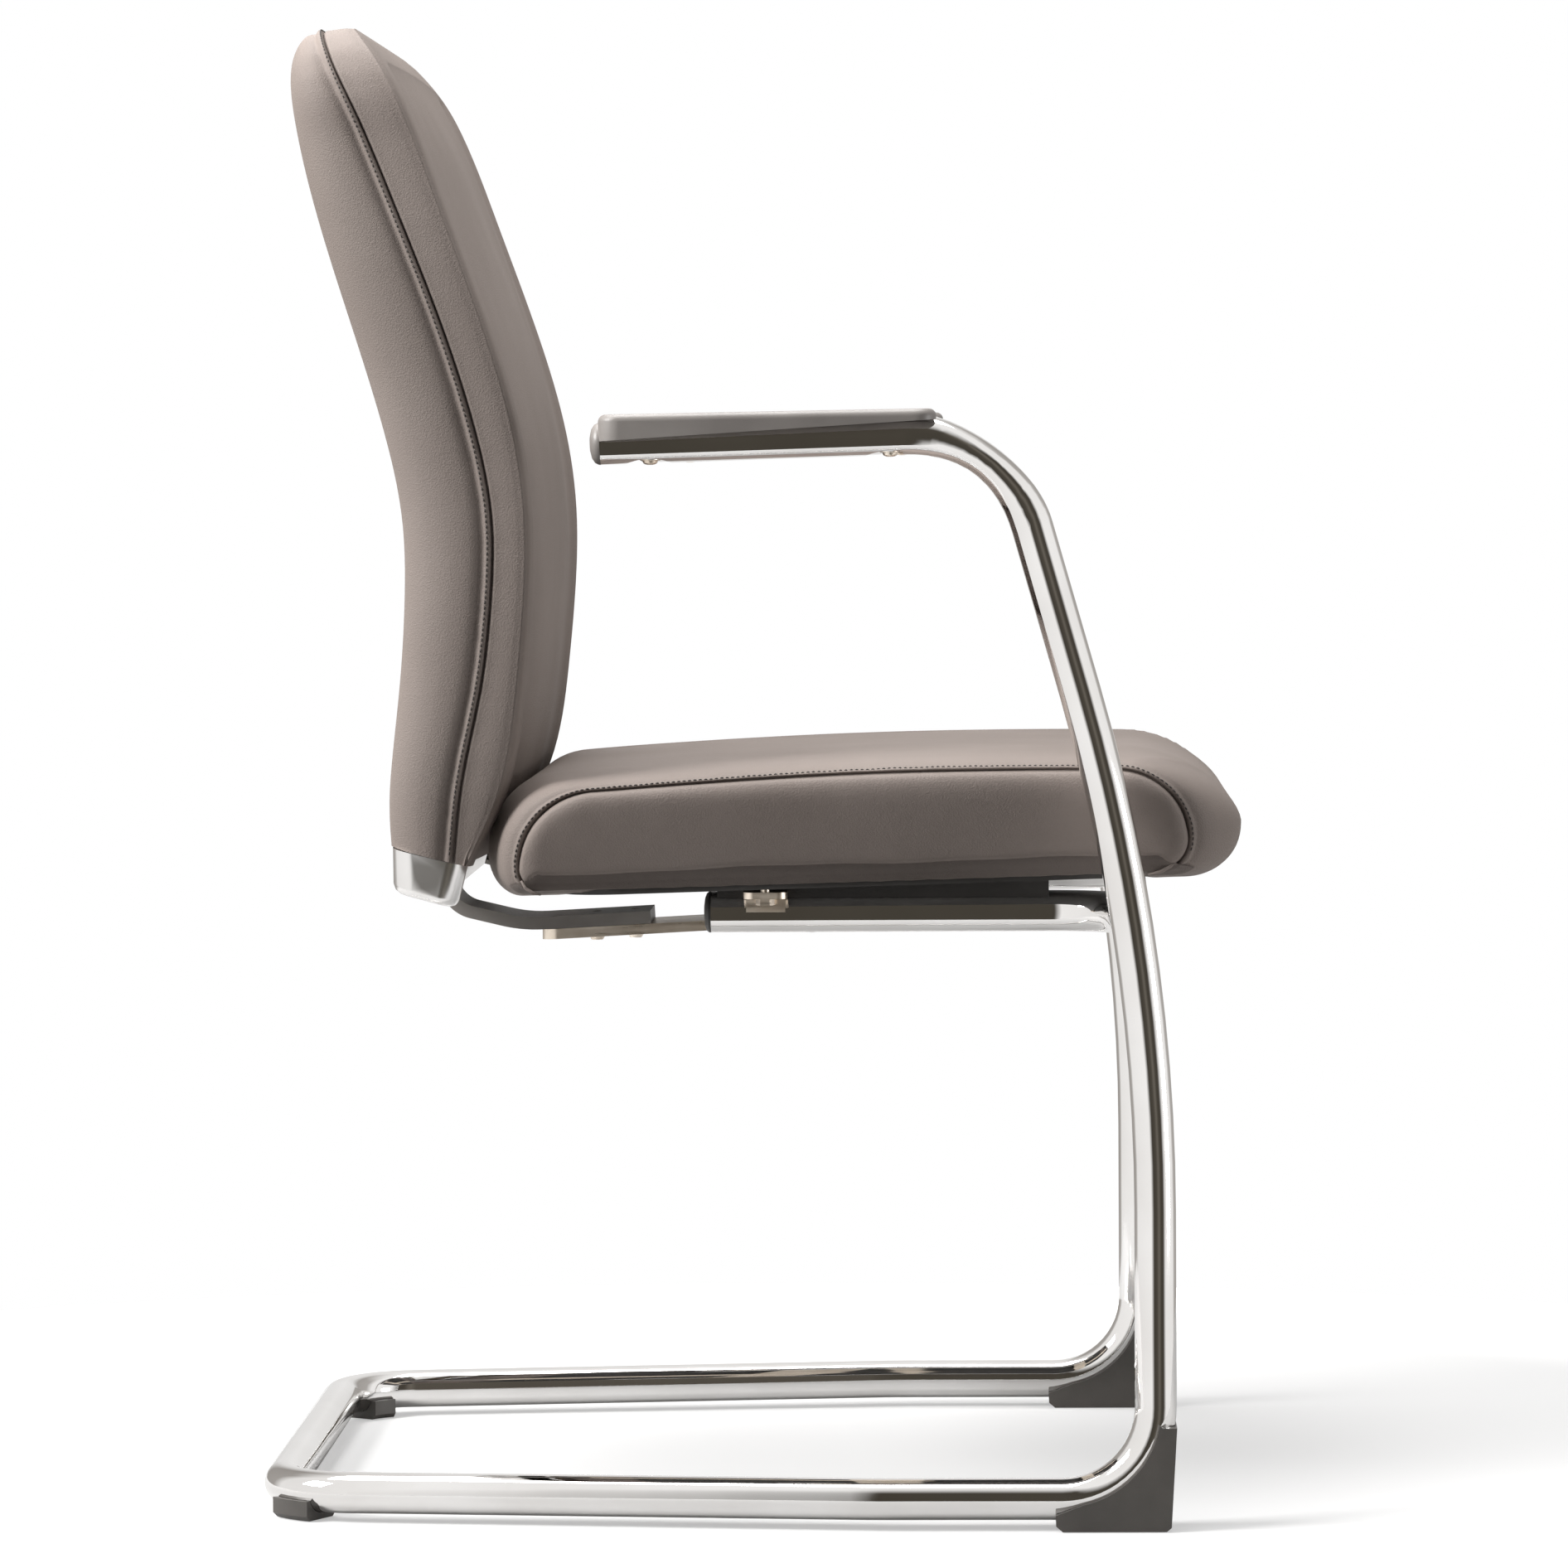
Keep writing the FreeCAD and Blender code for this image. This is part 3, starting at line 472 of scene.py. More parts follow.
def seatOutline(y):
    # one section of the seat, from the rear end over the top to the front end and back along the underside
    share = min(1.0, max(0.0, (abs(y) - seat["flatY"]) / (seat["seamY"] - seat["flatY"])))
    draw = 1 - math.sqrt(max(0.0, 1 - share * share))
    rear = seat["rearX"] + seat["drawRear"] * draw
    front = seat["frontX"] - seat["drawFront"] * draw
    lowRear = seat["lowRear"] + seat["drawLow"] * draw
    lowFront = seat["lowFront"] + seat["drawLow"] * draw
    topRear = seat["topRear"] - seat["drawTop"] * draw
    topFront = seat["topFront"] - seat["drawTop"] * draw
    rearRound, frontRound, underRear, underFront, nose, tail, noseShape = (
        seat[k][0] + (seat[k][1] - seat[k][0]) * draw
        for k in ("rearRound", "frontRound", "underRear", "underFront", "nose", "tail", "noseShape"))
    noseZ = lowFront + (topFront - lowFront) * nose
    tailZ = lowRear + (topRear - lowRear) * tail
    turns = [math.pi / 2 * k / seat["endCount"] for k in range(seat["endCount"])]
    ways = [k / seat["flatCount"] for k in range(seat["flatCount"])]
    points = []
    for t in turns:
        points.append((rear + rearRound * (1 - math.cos(t)), tailZ + (topRear - tailZ) * math.sin(t)))
    for way in ways:
        x = rear + rearRound + (front - frontRound - rear - rearRound) * way
        points.append((x, topRear + (topFront - topRear) * way + seat["crown"] * math.sin(math.pi * way)))
    for t in turns:
        points.append((front - frontRound * (1 - math.sin(t) ** (2 / noseShape)),
                       noseZ + (topFront - noseZ) * math.cos(t) ** (2 / noseShape)))
    for t in turns:
        points.append((front - underFront * (1 - math.cos(t)), noseZ + (lowFront - noseZ) * math.sin(t)))
    for way in ways:
        x = front - underFront + (rear + underRear - front + underFront) * way
        points.append((x, lowFront + (lowRear - lowFront) * way))
    for t in turns:
        points.append((rear + underRear * (1 - math.sin(t)), tailZ + (lowRear - tailZ) * math.cos(t)))
    return np.array([(x, y, z) for x, z in points])


def seatCentreGrid():
    # columns run from the right seam to the middle; rows stand at set distances from the seam
    turns = np.linspace(math.pi / 2, 0, seat["fineCount"])
    dense = np.array([seatOutline(-seat["seamY"] * math.sin(t)) for t in turns])
    near = np.array(seam["rows"])
    columns = []
    for i in range(dense.shape[1]):
        line = dense[:, i]
        steps = lengthsAlong(line)
        rest = np.linspace(near[-1], steps[-1], seat["innerRows"])[1:]
        columns.append(valuesAlong(line, steps, np.concatenate([near, rest])))
    return np.array(columns).transpose(1, 0, 2)


# Side panels of the seat: a soft swell inside the seam, and a lower edge above a turned-in band, its
# leatherette darkened as painted shade
side = dict(
    swell=0.0080, reach=0.0115, power=2.3, lowShare=0.5, seamFade=0.012,
    topRows=(0, 0.0005, 0.0011, 0.0019, 0.003, 0.0045, 0.0065, 0.0095, 0.0135, 0.019, 0.027),
    lowRows=(0, 0.0015, 0.0035, 0.0058, 0.0073, 0.0082, 0.0088, 0.0094, 0.0100, 0.0106, 0.0113, 0.0124,
             0.0145, 0.019, 0.027),
    middle=5, spare=0.002,
    bandSpan=(-0.130, 0.252), bandGrow=(0.034, 0.026), bandHeight=0.0100, bandDepth=0.0034, bandEdge=0.0007,
    bandWaves=((0.0007, 41.0, 0.6), (0.0003, 117.0, 0.0)), bandLeast=0.02,
    bandRows=(6.4, 5, 4, 3, 2, 1), bandParts=6, bandDrop=0.0002,
    underRows=(3, 5, 8, 10, 11), underLift=0.0005, liningOut=0.0004)


def bandTop(x):
    # height of the panel's lower edge above the bottom, a little uneven along the seat
    waves = (size * math.sin(x * rate + shift) for size, rate, shift in side["bandWaves"])
    return side["bandHeight"] + sum(waves)


def bandShare(x):
    # the band starts at the foot of the seam and grows along the first few centimetres
    (rear, front), (rearGrow, frontGrow) = side["bandSpan"], side["bandGrow"]
    way = min(1.0, max(0.0, min((x - rear) / rearGrow, (front - x) / frontGrow)))
    return way * way * (3 - 2 * way)


def seatSideGrid():
    # columns run from the upper seam down to the bottom edge
    edge = seatOutline(-seat["seamY"])
    half = len(edge) // 2
    outline = edge[:, [0, 2]]
    runs = np.roll(outline, -1, axis=0) - outline
    lengths = np.maximum((runs ** 2).sum(axis=1), 1e-12)

    def depth(point):
        # distance to the nearest part of the outline
        way = np.clip(((point - outline) * runs).sum(axis=1) / lengths, 0, 1)
        return np.linalg.norm(outline + runs * way[:, None] - point, axis=1).min()

    def place(i, spot, inside):
        # a point of the panel on column i, at a distance below the upper seam
        upper = outline[i]
        lower = outline[(-i) % len(edge)]
        length = np.linalg.norm(lower - upper)
        point = upper + (lower - upper) * (spot / length if length > 1e-9 else 0)
        d = depth(point)
        share = 1 - min(1.0, d / side["reach"])
        height = (length - spot) / max(length, 1e-6)
        full = side["lowShare"] + (1 - side["lowShare"]) * math.sqrt(height)
        out = side["swell"] * math.sqrt(max(0.0, 1 - share ** side["power"])) * full
        out += seamLift(d, point[0], False, seat["valley"]) * min(1.0, (length - spot) / side["seamFade"])
        return np.array((point[0], -seat["seamY"] - out + side["bandDepth"] * inside, point[1]))

    rows = len(side["topRows"]) + side["middle"] + len(side["lowRows"])
    grid = np.zeros((rows, half + 1, 3))
    bands = []
    for i in range(half + 1):
        length = np.linalg.norm(outline[(-i) % len(edge)] - outline[i])
        fit = min(1.0, length / (side["topRows"][-1] + side["lowRows"][-1] + side["spare"]))
        top = np.array(side["topRows"]) * fit
        low = length - np.array(side["lowRows"][::-1]) * fit
        spots = np.concatenate([top, np.linspace(top[-1], low[0], side["middle"] + 2)[1:-1], low])
        ends = bandShare(outline[i][0])
        edgeHeight = bandTop(outline[i][0]) * ends
        for r, spot in enumerate(spots):
            inside = ends / (1 + math.exp((length - spot - edgeHeight) / side["bandEdge"] * 2))
            grid[r, i] = place(i, spot, inside)
        if ends > side["bandLeast"]:
            drops = [edgeHeight * k / side["bandParts"] for k in side["bandRows"]]
            bands.append((i, [place(i, length - drop - side["bandDrop"], ends) for drop in drops]))
    return grid, bands


def lifted(grid, normals, stitched, valley):
    # press the groove and raise the strip along the seam, row by row
    result = grid.copy()
    along = lengthsAlong(grid[0])
    for c in range(grid.shape[1]):
        for r, distance in enumerate(lengthsAlong(grid[:, c])):
            if distance > seam["reach"]:
                break
            result[r, c] = grid[r, c] + normals[r, c] * seamLift(distance, along[c], stitched, valley)
    return result


def outward(normals, grid, centre):
    # turn the normals so that they point away from the middle of the piece
    if np.sum(normals * (grid - np.array(centre))) < 0:
        return -normals
    return normals


def tapered(points):
    # the side panels lean in towards the bottom
    shaped = np.array(points, float)
    reach = np.clip((np.abs(shaped[..., 1]) - seat["flatY"]) / (seat["seamY"] - seat["flatY"]), 0, 1)
    fall = np.clip((seat["topRear"] - seat["taperFrom"] - shaped[..., 2]) / seat["taperHeight"], 0, 1)
    shaped[..., 1] -= np.sign(shaped[..., 1]) * seat["taper"] * reach * fall ** seat["taperPower"]
    return shaped


def swellTop(base, upper):
    # the top swells as one cover from seam to seam; only its right half is kept and mirrored later
    tall = base.shape[0]
    whole = np.concatenate([base[:, :upper], base[-2::-1, :upper] * (1, -1, 1)])
    rows = sorted({0, *range(len(seam["rows"]) - 1, tall, seat["rowStep"]), tall - 1})
    rows += [2 * (tall - 1) - r for r in reversed(rows[:-1])]
    cols = sorted({*range(0, upper, seat["columnStep"]), upper - 1})
    moves = swell(whole, rows, cols, (0, 0, 1), seat["swell"])[:tall]
    moves[-1, :, 1] = 0
    base[:, :upper] += moves


def addShoulder(base, normals):
    # the top rounds over a low shoulder to the seam, so the stitched strip faces the side
    count = len(seam["rows"])
    distances = np.array([np.interp(r, range(count), seam["rows"]) for r in range(base.shape[0])])
    rise = 1 - np.clip(distances / seat["shoulderWidth"], 0, 1)
    height = seat["shoulder"] * np.sqrt(1 - rise ** 2)
    base += normals * np.maximum(normals[..., 2:], 0) * height[:, None, None]


def addFold(top, normals, upper):
    # a soft fold runs from the seam to the nose
    first = np.array(seat["creaseFrom"])
    run = np.array(seat["creaseTo"]) - first
    for r in range(top.shape[0]):
        for c in range(upper):
            spot = np.array([top[r, c, 0], abs(top[r, c, 1])]) - first
            way = np.dot(spot, run) / np.dot(run, run)
            if 0 < way < 1:
                off = np.linalg.norm(spot - run * way) / seat["creaseWidth"]
                height = seat["creaseHeight"] * math.exp(-off * off) * math.sin(math.pi * way)
                top[r, c] += normals[r, c] * height


def buildSeat():
    # the right half is shaped and then mirrored
    base = seatCentreGrid()
    upper = seat["endCount"] * 2 + seat["flatCount"]
    centre = ((seat["rearX"] + seat["frontX"]) / 2, 0.0, (seat["lowRear"] + seat["topFront"]) / 2)
    swellTop(base, upper)
    addShoulder(base, outward(surfaceNormals(base, True), base, centre))
    normals = outward(surfaceNormals(base, True), base, centre)
    top = lifted(base, normals, True, seat["valley"])
    addFold(top, normals, upper)
    cols = top.shape[1]
    verts = list(top.reshape(-1, 3))
    faces = gridFaces(top.shape[0], cols, 0, True)
    grid, bands = seatSideGrid()
    half = grid.shape[1] - 1
    for i in range(half + 1):
        grid[0, i] = top[0, i]
        grid[-1, i] = top[0, (-i) % cols]
    for r in range(grid.shape[0]):
        grid[r, 0] = top[0, 0]
        grid[r, half] = top[0, half]
    faces += gridFaces(grid.shape[0], half + 1, len(verts))
    verts += list(grid.reshape(-1, 3))
    mirrored = [np.array([p[0], -p[1], p[2]]) for p in verts]
    count = len(verts)
    faces += [tuple(count + i for i in reversed(face)) for face in faces]
    # the stitches run over the top only; the turned-in band goes on under the seat
    path, ups = stitchLine(top, normals)
    over = list(range(-seat["stitchesPast"], half + seat["stitchesPast"] + 1))
    under = []
    for i, column in bands:
        c = (-i) % cols
        under.append(column + [top[r, c] + normals[r, c] * side["underLift"] for r in side["underRows"]])
    return tapered(verts + mirrored), faces, tapered(path[over]), ups[over], tapered(under)


# Opening in the underside, along the outline of the plastic cover that fills it
tray = dict(rearX=-0.1183, frontX=0.2503, halfY=0.2263, corner=0.0403, wall=0.0125, cutBelow=0.012,
            cutFacing=-0.7, cutGrow=0.004, pulls=6, step=1e-4)


def inTray(x, y):
    # signed distance from the outline of the cover, negative inside
    midX = (tray["rearX"] + tray["frontX"]) / 2
    dx = abs(x - midX) - (tray["frontX"] - tray["rearX"]) / 2 + tray["corner"]
    dy = abs(y) - tray["halfY"] + tray["corner"]
    outside = math.hypot(max(dx, 0), max(dy, 0))
    return outside + min(max(dx, dy), 0) - tray["corner"]


def openUnderside(piece):
    # cut the underside away over the plastic cover and turn the edge up round it
    body = bmesh.new()
    body.from_mesh(piece.data)
    floorZ = seat["lowFront"] + tray["cutBelow"]
    doomed = [f for f in body.faces if f.normal.z < tray["cutFacing"]
              and all(v.co.z < floorZ and inTray(v.co.x, v.co.y) < tray["cutGrow"] for v in f.verts)]
    bmesh.ops.delete(body, geom=doomed, context="FACES")
    rim = [e for e in body.edges if e.is_boundary]
    step = tray["step"]
    for v in {v for e in rim for v in e.verts}:
        for _ in range(tray["pulls"]):
            d = inTray(v.co.x, v.co.y)
            gx = (inTray(v.co.x + step, v.co.y) - d) / step
            gy = (inTray(v.co.x, v.co.y + step) - d) / step
            size = max(math.hypot(gx, gy), 1e-6)
            v.co.x -= gx / size * d
            v.co.y -= gy / size * d
    for item in bmesh.ops.extrude_edge_only(body, edges=rim)["geom"]:
        if isinstance(item, bmesh.types.BMVert):
            item.co.z += tray["wall"]
    body.to_mesh(piece.data)
    body.free()


seatVerts, seatFaces, seatStitchPath, seatStitchUp, sideBands = buildSeat()
seatPiece = newPiece("seat_upholstery", seatVerts, seatFaces, finishes["leatherette"])
openUnderside(seatPiece)
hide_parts("seat_cushion")
# a darker copy of the leatherette for the turned-in band: painted shade under the side panels
shadedLining = leatheretteFinish("turned_in_lining_painted_shade", leather["liningPaintedShade"])
tails = dict(radius=0.0011, sides=8, endShrink=0.55, out=0.0006,
             rear=((-0.139, 0.3935), (-0.1365, 0.389), (-0.132, 0.386), (-0.127, 0.3848)),
             front=((0.262, 0.4045), (0.258, 0.4005), (0.2525, 0.3975), (0.2445, 0.3955)))


def liningBand(name, sign):
    # the turned-in edge under the side panel, a hair outside the recess it fills, in leatherette darkened as
    # painted shade
    cols, rows = sideBands.shape[:2]
    verts = [(x, sign * (y - side["liningOut"]), z) for x, y, z in sideBands.reshape(-1, 3)]
    return newPiece(name, verts, gridFaces(cols, rows), shadedLining)


def pipingEnd(name, path):
    # a short end of round piping along a polyline, with closed ends
    points = [Vector(p) for p in path]
    last = len(points) - 1
    verts = []
    for i, point in enumerate(points):
        ahead = (points[min(i + 1, last)] - points[max(i - 1, 0)]).normalized()
        across = ahead.cross(Vector((0.0, 1.0, 0.0))).normalized()
        radius = tails["radius"] * (tails["endShrink"] if i in (0, last) else 1.0)
        verts += ringAround(point, across, across.cross(ahead), radius, tails["sides"])
    faces = tubeFaces(len(points), tails["sides"])
    return newPiece(name, verts, faces, finishes["leatherette"])


for sideName, sign in (("right", 1), ("left", -1)):
    flip = np.array([1, sign, 1])
    stitchRow("seat_stitching_" + sideName, seatStitchPath * flip, seatStitchUp * flip)
    liningBand("seat_shaded_lining_" + sideName, sign)
    for end in ("rear", "front"):
        path = tapered([(x, -sign * (seat["seamY"] + tails["out"]), z) for x, z in tails[end]])
        pipingEnd("seat_piping_" + end + "_" + sideName, path)
print("seat upholstered,", len(seatPiece.data.vertices), "points")


# Backrest: a deep rear shell and a front pad that meet in one seam round the edge
backRows = (  # height, rear, seam, front, half width
    (0.380, -0.2235, -0.1855, -0.179, 0.2125), (0.396, -0.223, -0.183, -0.172, 0.216),
    (0.450, -0.220, -0.176, -0.149, 0.228), (0.510, -0.213, -0.163, -0.138, 0.236),
    (0.565, -0.209, -0.156, -0.133, 0.239), (0.615, -0.210, -0.155, -0.132, 0.240),
    (0.670, -0.221, -0.165, -0.139, 0.240), (0.740, -0.242, -0.187, -0.159, 0.240),
    (0.810, -0.263, -0.214, -0.184, 0.238), (0.865, -0.275, -0.237, -0.205, 0.234),
    (0.893, -0.278, -0.250, -0.220, 0.226), (0.918, -0.277, -0.260, -0.240, 0.200),
)
backHeights = [row[0] for row in backRows]
rearAt, seamAt, frontAt, halfAt = (
    smoothThrough(backHeights, [row[k] for row in backRows]) for k in (1, 2, 3, 4))
back = dict(
    lowZ=0.383, cornerZ=0.852, topZ=0.918, cornerY=0.062, cornerPower=2.35, middleZ=0.65,
    sideCount=56, cornerCount=20, topCount=17, fineCount=120, betweenRows=4, outerRows=8, rowStep=3,
    gather=0.35,
    rimRows=(-0.0035, -0.0022, -0.0013, -0.0006, 0, 0.0006, 0.0013, 0.0022, 0.0035), seamRowsReach=0.7,
    levelReach=0.08, footZ=0.455, footReach=0.045, footDraw=0.0028, valley=0.0024, swell=0.0025,
    crestWidth=0.0011, crestShift=0.0013, crestLean=0.7, dishReach=0.011,
    cutRear=(-0.240, 0.4175), cutFront=(-0.140, 0.3935), stitchClear=0.002)
rearShape = dict(inset=0.034, power=2.3, bow=-0.0075, dish=0.0, crest=0.0)
frontShape = dict(inset=0.0215, power=7.5, bow=0.0085, dish=0.0060, crest=0.0008)


def backEdge():
    # the edge on the sitter's right, from the bottom up to the middle of the top
    heights = np.linspace(back["lowZ"], back["cornerZ"], back["sideCount"] + 1)
    points = [(float(halfAt(z)), z) for z in heights]
    wide = points[-1][0]
    tall = back["topZ"] - back["cornerZ"]
    power = 2 / back["cornerPower"]
    for k in range(1, back["cornerCount"] + 1):
        turn = math.pi / 2 * k / back["cornerCount"]
        draw = 1 - math.cos(turn) ** power if k < back["cornerCount"] else 1
        points.append((wide - back["cornerY"] * draw, back["cornerZ"] + tall * math.sin(turn) ** power))
    shoulder = points[-1][0]
    for k in range(1, back["topCount"] + 1):
        points.append((shoulder * (1 - k / back["topCount"]), back["topZ"]))
    return [(-y, z) for y, z in points]


def plainFace(depthAt, bow):
    # the face of a shell, bowed from side to side, flat at the top edge and drawn in at the foot
    def surface(y, z):
        reach = float(halfAt(min(z, back["cornerZ"])))
        level = min(1.0, max(0.0, (back["topZ"] - z) / back["levelReach"]))
        foot = min(1.0, max(0.0, (back["footZ"] - z) / back["footReach"]))
        bowed = bow * max(0.0, 1 - (y / reach) ** 2) * level * (2 - level)
        return float(depthAt(z)) + bowed - math.copysign(back["footDraw"], bow) * foot * foot

    return surface


def edgeColumn(surface, shape, y, z, ny, nz):
    # a line of points from the seam at (y, z) round the edge to the face, going inward along (ny, nz)
    rise = surface(y, z) - float(seamAt(z))
    line = []
    for t in np.linspace(0, math.pi / 2, back["fineCount"]):
        e = shape["inset"] * (1 - max(math.cos(t), 0) ** (2 / shape["power"]))
        up = math.sin(t) ** (2 / shape["power"])
        line.append((surface(y + ny * e, z + nz * e) - rise * (1 - up), y + ny * e, z + nz * e))
    line = np.array(line)
    steps = lengthsAlong(line)
    # rows gather at the seam and again at the rim, where the edge turns into the face
    rim = steps[np.argmin(np.abs(np.linspace(0, 1, back["fineCount"]) - 0.5))]
    near = np.array(seam["rows"])
    spots = near * min(1.0, back["seamRowsReach"] * rim / near[-1])
    cluster = rim + np.array(back["rimRows"])
    between = np.linspace(spots[-1], cluster[0], back["betweenRows"])[1:-1]
    rest = np.linspace(cluster[-1], steps[-1], back["outerRows"])[1:]
    places = np.concatenate([spots, between, cluster, rest])
    column = valuesAlong(line, steps, places)
    # a low crest stands along the rim
    ridge = shape["crest"] * np.exp(-((places - rim + back["crestShift"]) / back["crestWidth"]) ** 2)
    for axis, lean in enumerate((np.sign(rise), -ny, -nz)):
        column[:, axis] += ridge * back["crestLean"] * lean
    return column


def shellField(surface, last, dish):
    # rows between matching points of the right and left edges, inside the last ring
    sideRows = back["sideCount"] + back["cornerCount"]
    cols = 2 * back["topCount"] + 1
    gathered = np.sin(np.linspace(-math.pi / 2, math.pi / 2, cols)) * back["gather"]
    spacing = gathered + np.linspace(-1, 1, cols) * (1 - back["gather"])
    field = np.zeros((sideRows + 1, cols, 3))
    field[sideRows] = last[sideRows:sideRows + cols]
    for r in range(sideRows):
        first = last[r]
        second = last[len(last) - 1 - r]
        for c in range(cols):
            field[r, c] = first + (second - first) * (spacing[c] + 1) / 2
        for c in range(1, cols - 1):
            y, z = field[r, c, 1:]
            gap = min(abs(field[r, 0, 1]) - abs(y), field[-1, 0, 2] - z)
            field[r, c, 0] = surface(y, z) - dish * (1 - math.exp(-max(0.0, gap) / back["dishReach"]))
    return field


def backShell(depthAt, shape):
    # rings of points from the seam round the edge, and the field inside the last ring
    right = backEdge()
    edge = np.array(right + [(-y, z) for y, z in reversed(right[:-1])])
    tangent = np.gradient(edge, axis=0)
    inward = np.stack([-tangent[:, 1], tangent[:, 0]], axis=1)
    inward /= np.linalg.norm(inward, axis=1, keepdims=True)
    if inward[0, 0] < 0:
        inward = -inward
    surface = plainFace(depthAt, shape["bow"])
    columns = [edgeColumn(surface, shape, *spot, *way) for spot, way in zip(edge, inward)]
    rings = np.array(columns).transpose(1, 0, 2)
    return rings, shellField(surface, rings[-1], shape["dish"])


def trimBottom(piece):
    # the lower edge follows the chrome trim; what lies below it is cut away
    (x0, z0), (x1, z1) = back["cutRear"], back["cutFront"]
    body = bmesh.new()
    body.from_mesh(piece.data)
    upward = Vector((-(z1 - z0), 0.0, x1 - x0)).normalized()
    geometry = body.verts[:] + body.edges[:] + body.faces[:]
    bmesh.ops.bisect_plane(body, geom=geometry, plane_co=(x0, 0, z0), plane_no=upward, clear_inner=True)
    body.to_mesh(piece.data)
    body.free()


def buildShell(name, node, depthAt, shape, stitched):
    rings, field = backShell(depthAt, shape)
    rowsKept = sorted({*range(0, field.shape[0], back["rowStep"]), field.shape[0] - 1})
    outwardDirection = (math.copysign(1, shape["bow"]), 0, 0)
    field += swell(field, rowsKept, list(range(field.shape[1])), outwardDirection, back["swell"])
    centre = (rings[0, :, 0].mean(), 0.0, back["middleZ"])
    normals = outward(surfaceNormals(rings, False), rings, centre)
    raised = lifted(rings, normals, stitched, back["valley"])
    verts = list(raised.reshape(-1, 3))
    faces = gridFaces(*raised.shape[:2])
    faces += gridFaces(*field.shape[:2], len(verts))
    verts += list(field.reshape(-1, 3))
    piece = newPiece(name, verts, faces, finishes["leatherette"])
    trimBottom(piece)
    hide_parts(node)
    return piece, *stitchLine(raised, normals)


def aboveTrim(point):
    # whether a stitch point stands clear of the cut along the chrome trim
    (x0, z0), (x1, z1) = back["cutRear"], back["cutFront"]
    return point[2] > z0 + (z1 - z0) / (x1 - x0) * (point[0] - x0) + back["stitchClear"]


rearShell, rearStitchPath, rearStitchUp = buildShell(
    "back_rear_shell", "back_rear_panel", rearAt, rearShape, True)
frontPad, _, _ = buildShell("back_front_pad", "back_front_cushion", frontAt, frontShape, False)
clear = [i for i, point in enumerate(rearStitchPath) if aboveTrim(point)]
stitchRow("back_stitching", rearStitchPath[clear], rearStitchUp[clear])
print("backrest upholstered,", len(rearShell.data.vertices) + len(frontPad.data.vertices), "points")


# Screws that hold the arm pads from below, each sunk in a dimple of the tube
screws = dict(
    places=(-0.056, 0.089), sideY=0.2675, armZ=0.6603, armX=-0.086, slope=math.tan(math.radians(1.56)),
    drop=0.0104, turns=28,
    crossReach=0.0022, crossHalf=0.00042, crossSink=0.0013, crossRim=0.72, crossFoot=0.6,
    profile=((0.0062, 0.0), (0.0062, 0.0007), (0.0046, 0.0007), (0.0046, 0.0014), (0.0041, 0.0024),
             (0.0030, 0.0030), (0.0016, 0.0033)))


def screwHead(name, x, sign):
    # a washer and a round head turned about a vertical line, with a cross cut into the head
    turns = screws["turns"]
    foot = screws["armZ"] + (x - screws["armX"]) * screws["slope"] - screws["drop"]
    verts = []
    for radius, depth in screws["profile"]:
        for k in range(turns):
            turn = 2 * math.pi * k / turns
            verts.append((radius * math.cos(turn), radius * math.sin(turn), -depth))
    faces = gridFaces(len(screws["profile"]), turns, 0, True)
    reach, half = screws["crossReach"], screws["crossHalf"]
    low = -screws["profile"][-1][1]
    star = [(reach, -half), (reach, half), (half, half), (half, reach), (-half, reach), (-half, half),
            (-reach, half), (-reach, -half), (-half, -half), (-half, -reach), (half, -reach), (half, -half)]
    tips = len(star)
    last = (len(screws["profile"]) - 1) * turns
    rim = len(verts)
    verts += [(u * screws["crossRim"], v * screws["crossRim"], low) for u, v in star]
    bottom = len(verts)
    verts += [(u * screws["crossFoot"], v * screws["crossFoot"], low + screws["crossSink"]) for u, v in star]
    # the flat of the head between its last ring and the cross
    bearings = [math.atan2(v, u) for u, v in star]

    def nearestTip(angle):
        return min(range(tips), key=lambda n: abs(math.remainder(bearings[n] - angle, 2 * math.pi)))

    ring = [nearestTip(2 * math.pi * k / turns) for k in range(turns)]
    for k in range(turns):
        n = (k + 1) % turns
        corners = [last + k, last + n, rim + ring[n], rim + ring[k]]
        faces.append(tuple(dict.fromkeys(corners)))
    for k in range(tips):
        n = (k + 1) % tips
        faces.append((rim + k, rim + n, bottom + n, bottom + k))
    faces.append(tuple(bottom + k for k in range(tips)))
    placed = [(x + u, sign * screws["sideY"] + v, foot + w) for u, v, w in verts]
    return newPiece(name, placed, faces, finishes["plated_steel"])


for number, x in enumerate(screws["places"]):
    screwHead("pad_screw_right_%d" % (number + 1), x, -1)
    screwHead("pad_screw_left_%d" % (number + 1), x, 1)
print("pad screws set")


# Camera at the photograph's place
view = dict(place=(0.152, -4.3896, 0.659), yaw=1.784, pitch=2.847, roll=0.38, focal=8230.0, frame=1892.0,
            sensor=36.0, clip=100.0)  # degrees; focal length and frame in pixels of the photograph


def placeCamera():
    yaw, pitch, roll = (math.radians(view[k]) for k in ("yaw", "pitch", "roll"))
    forward = Vector((-math.sin(yaw) * math.cos(pitch), math.cos(yaw) * math.cos(pitch), -math.sin(pitch)))
    level = Vector((math.cos(yaw), math.sin(yaw), 0.0))
    above = level.cross(forward)
    right = level * math.cos(roll) - above * math.sin(roll)
    up = level * math.sin(roll) + above * math.cos(roll)
    data = bpy.data.cameras.new("camera")
    data.sensor_fit = "HORIZONTAL"
    data.sensor_width = view["sensor"]
    data.lens = data.sensor_width * view["focal"] / view["frame"]
    data.clip_end = view["clip"]
    camera = addObject("camera", data)
    turn = Matrix((right, up, -forward)).transposed()
    camera.matrix_world = Matrix.Translation(view["place"]) @ turn.to_4x4()
    bpy.context.scene.camera = camera


placeCamera()
print("camera placed")


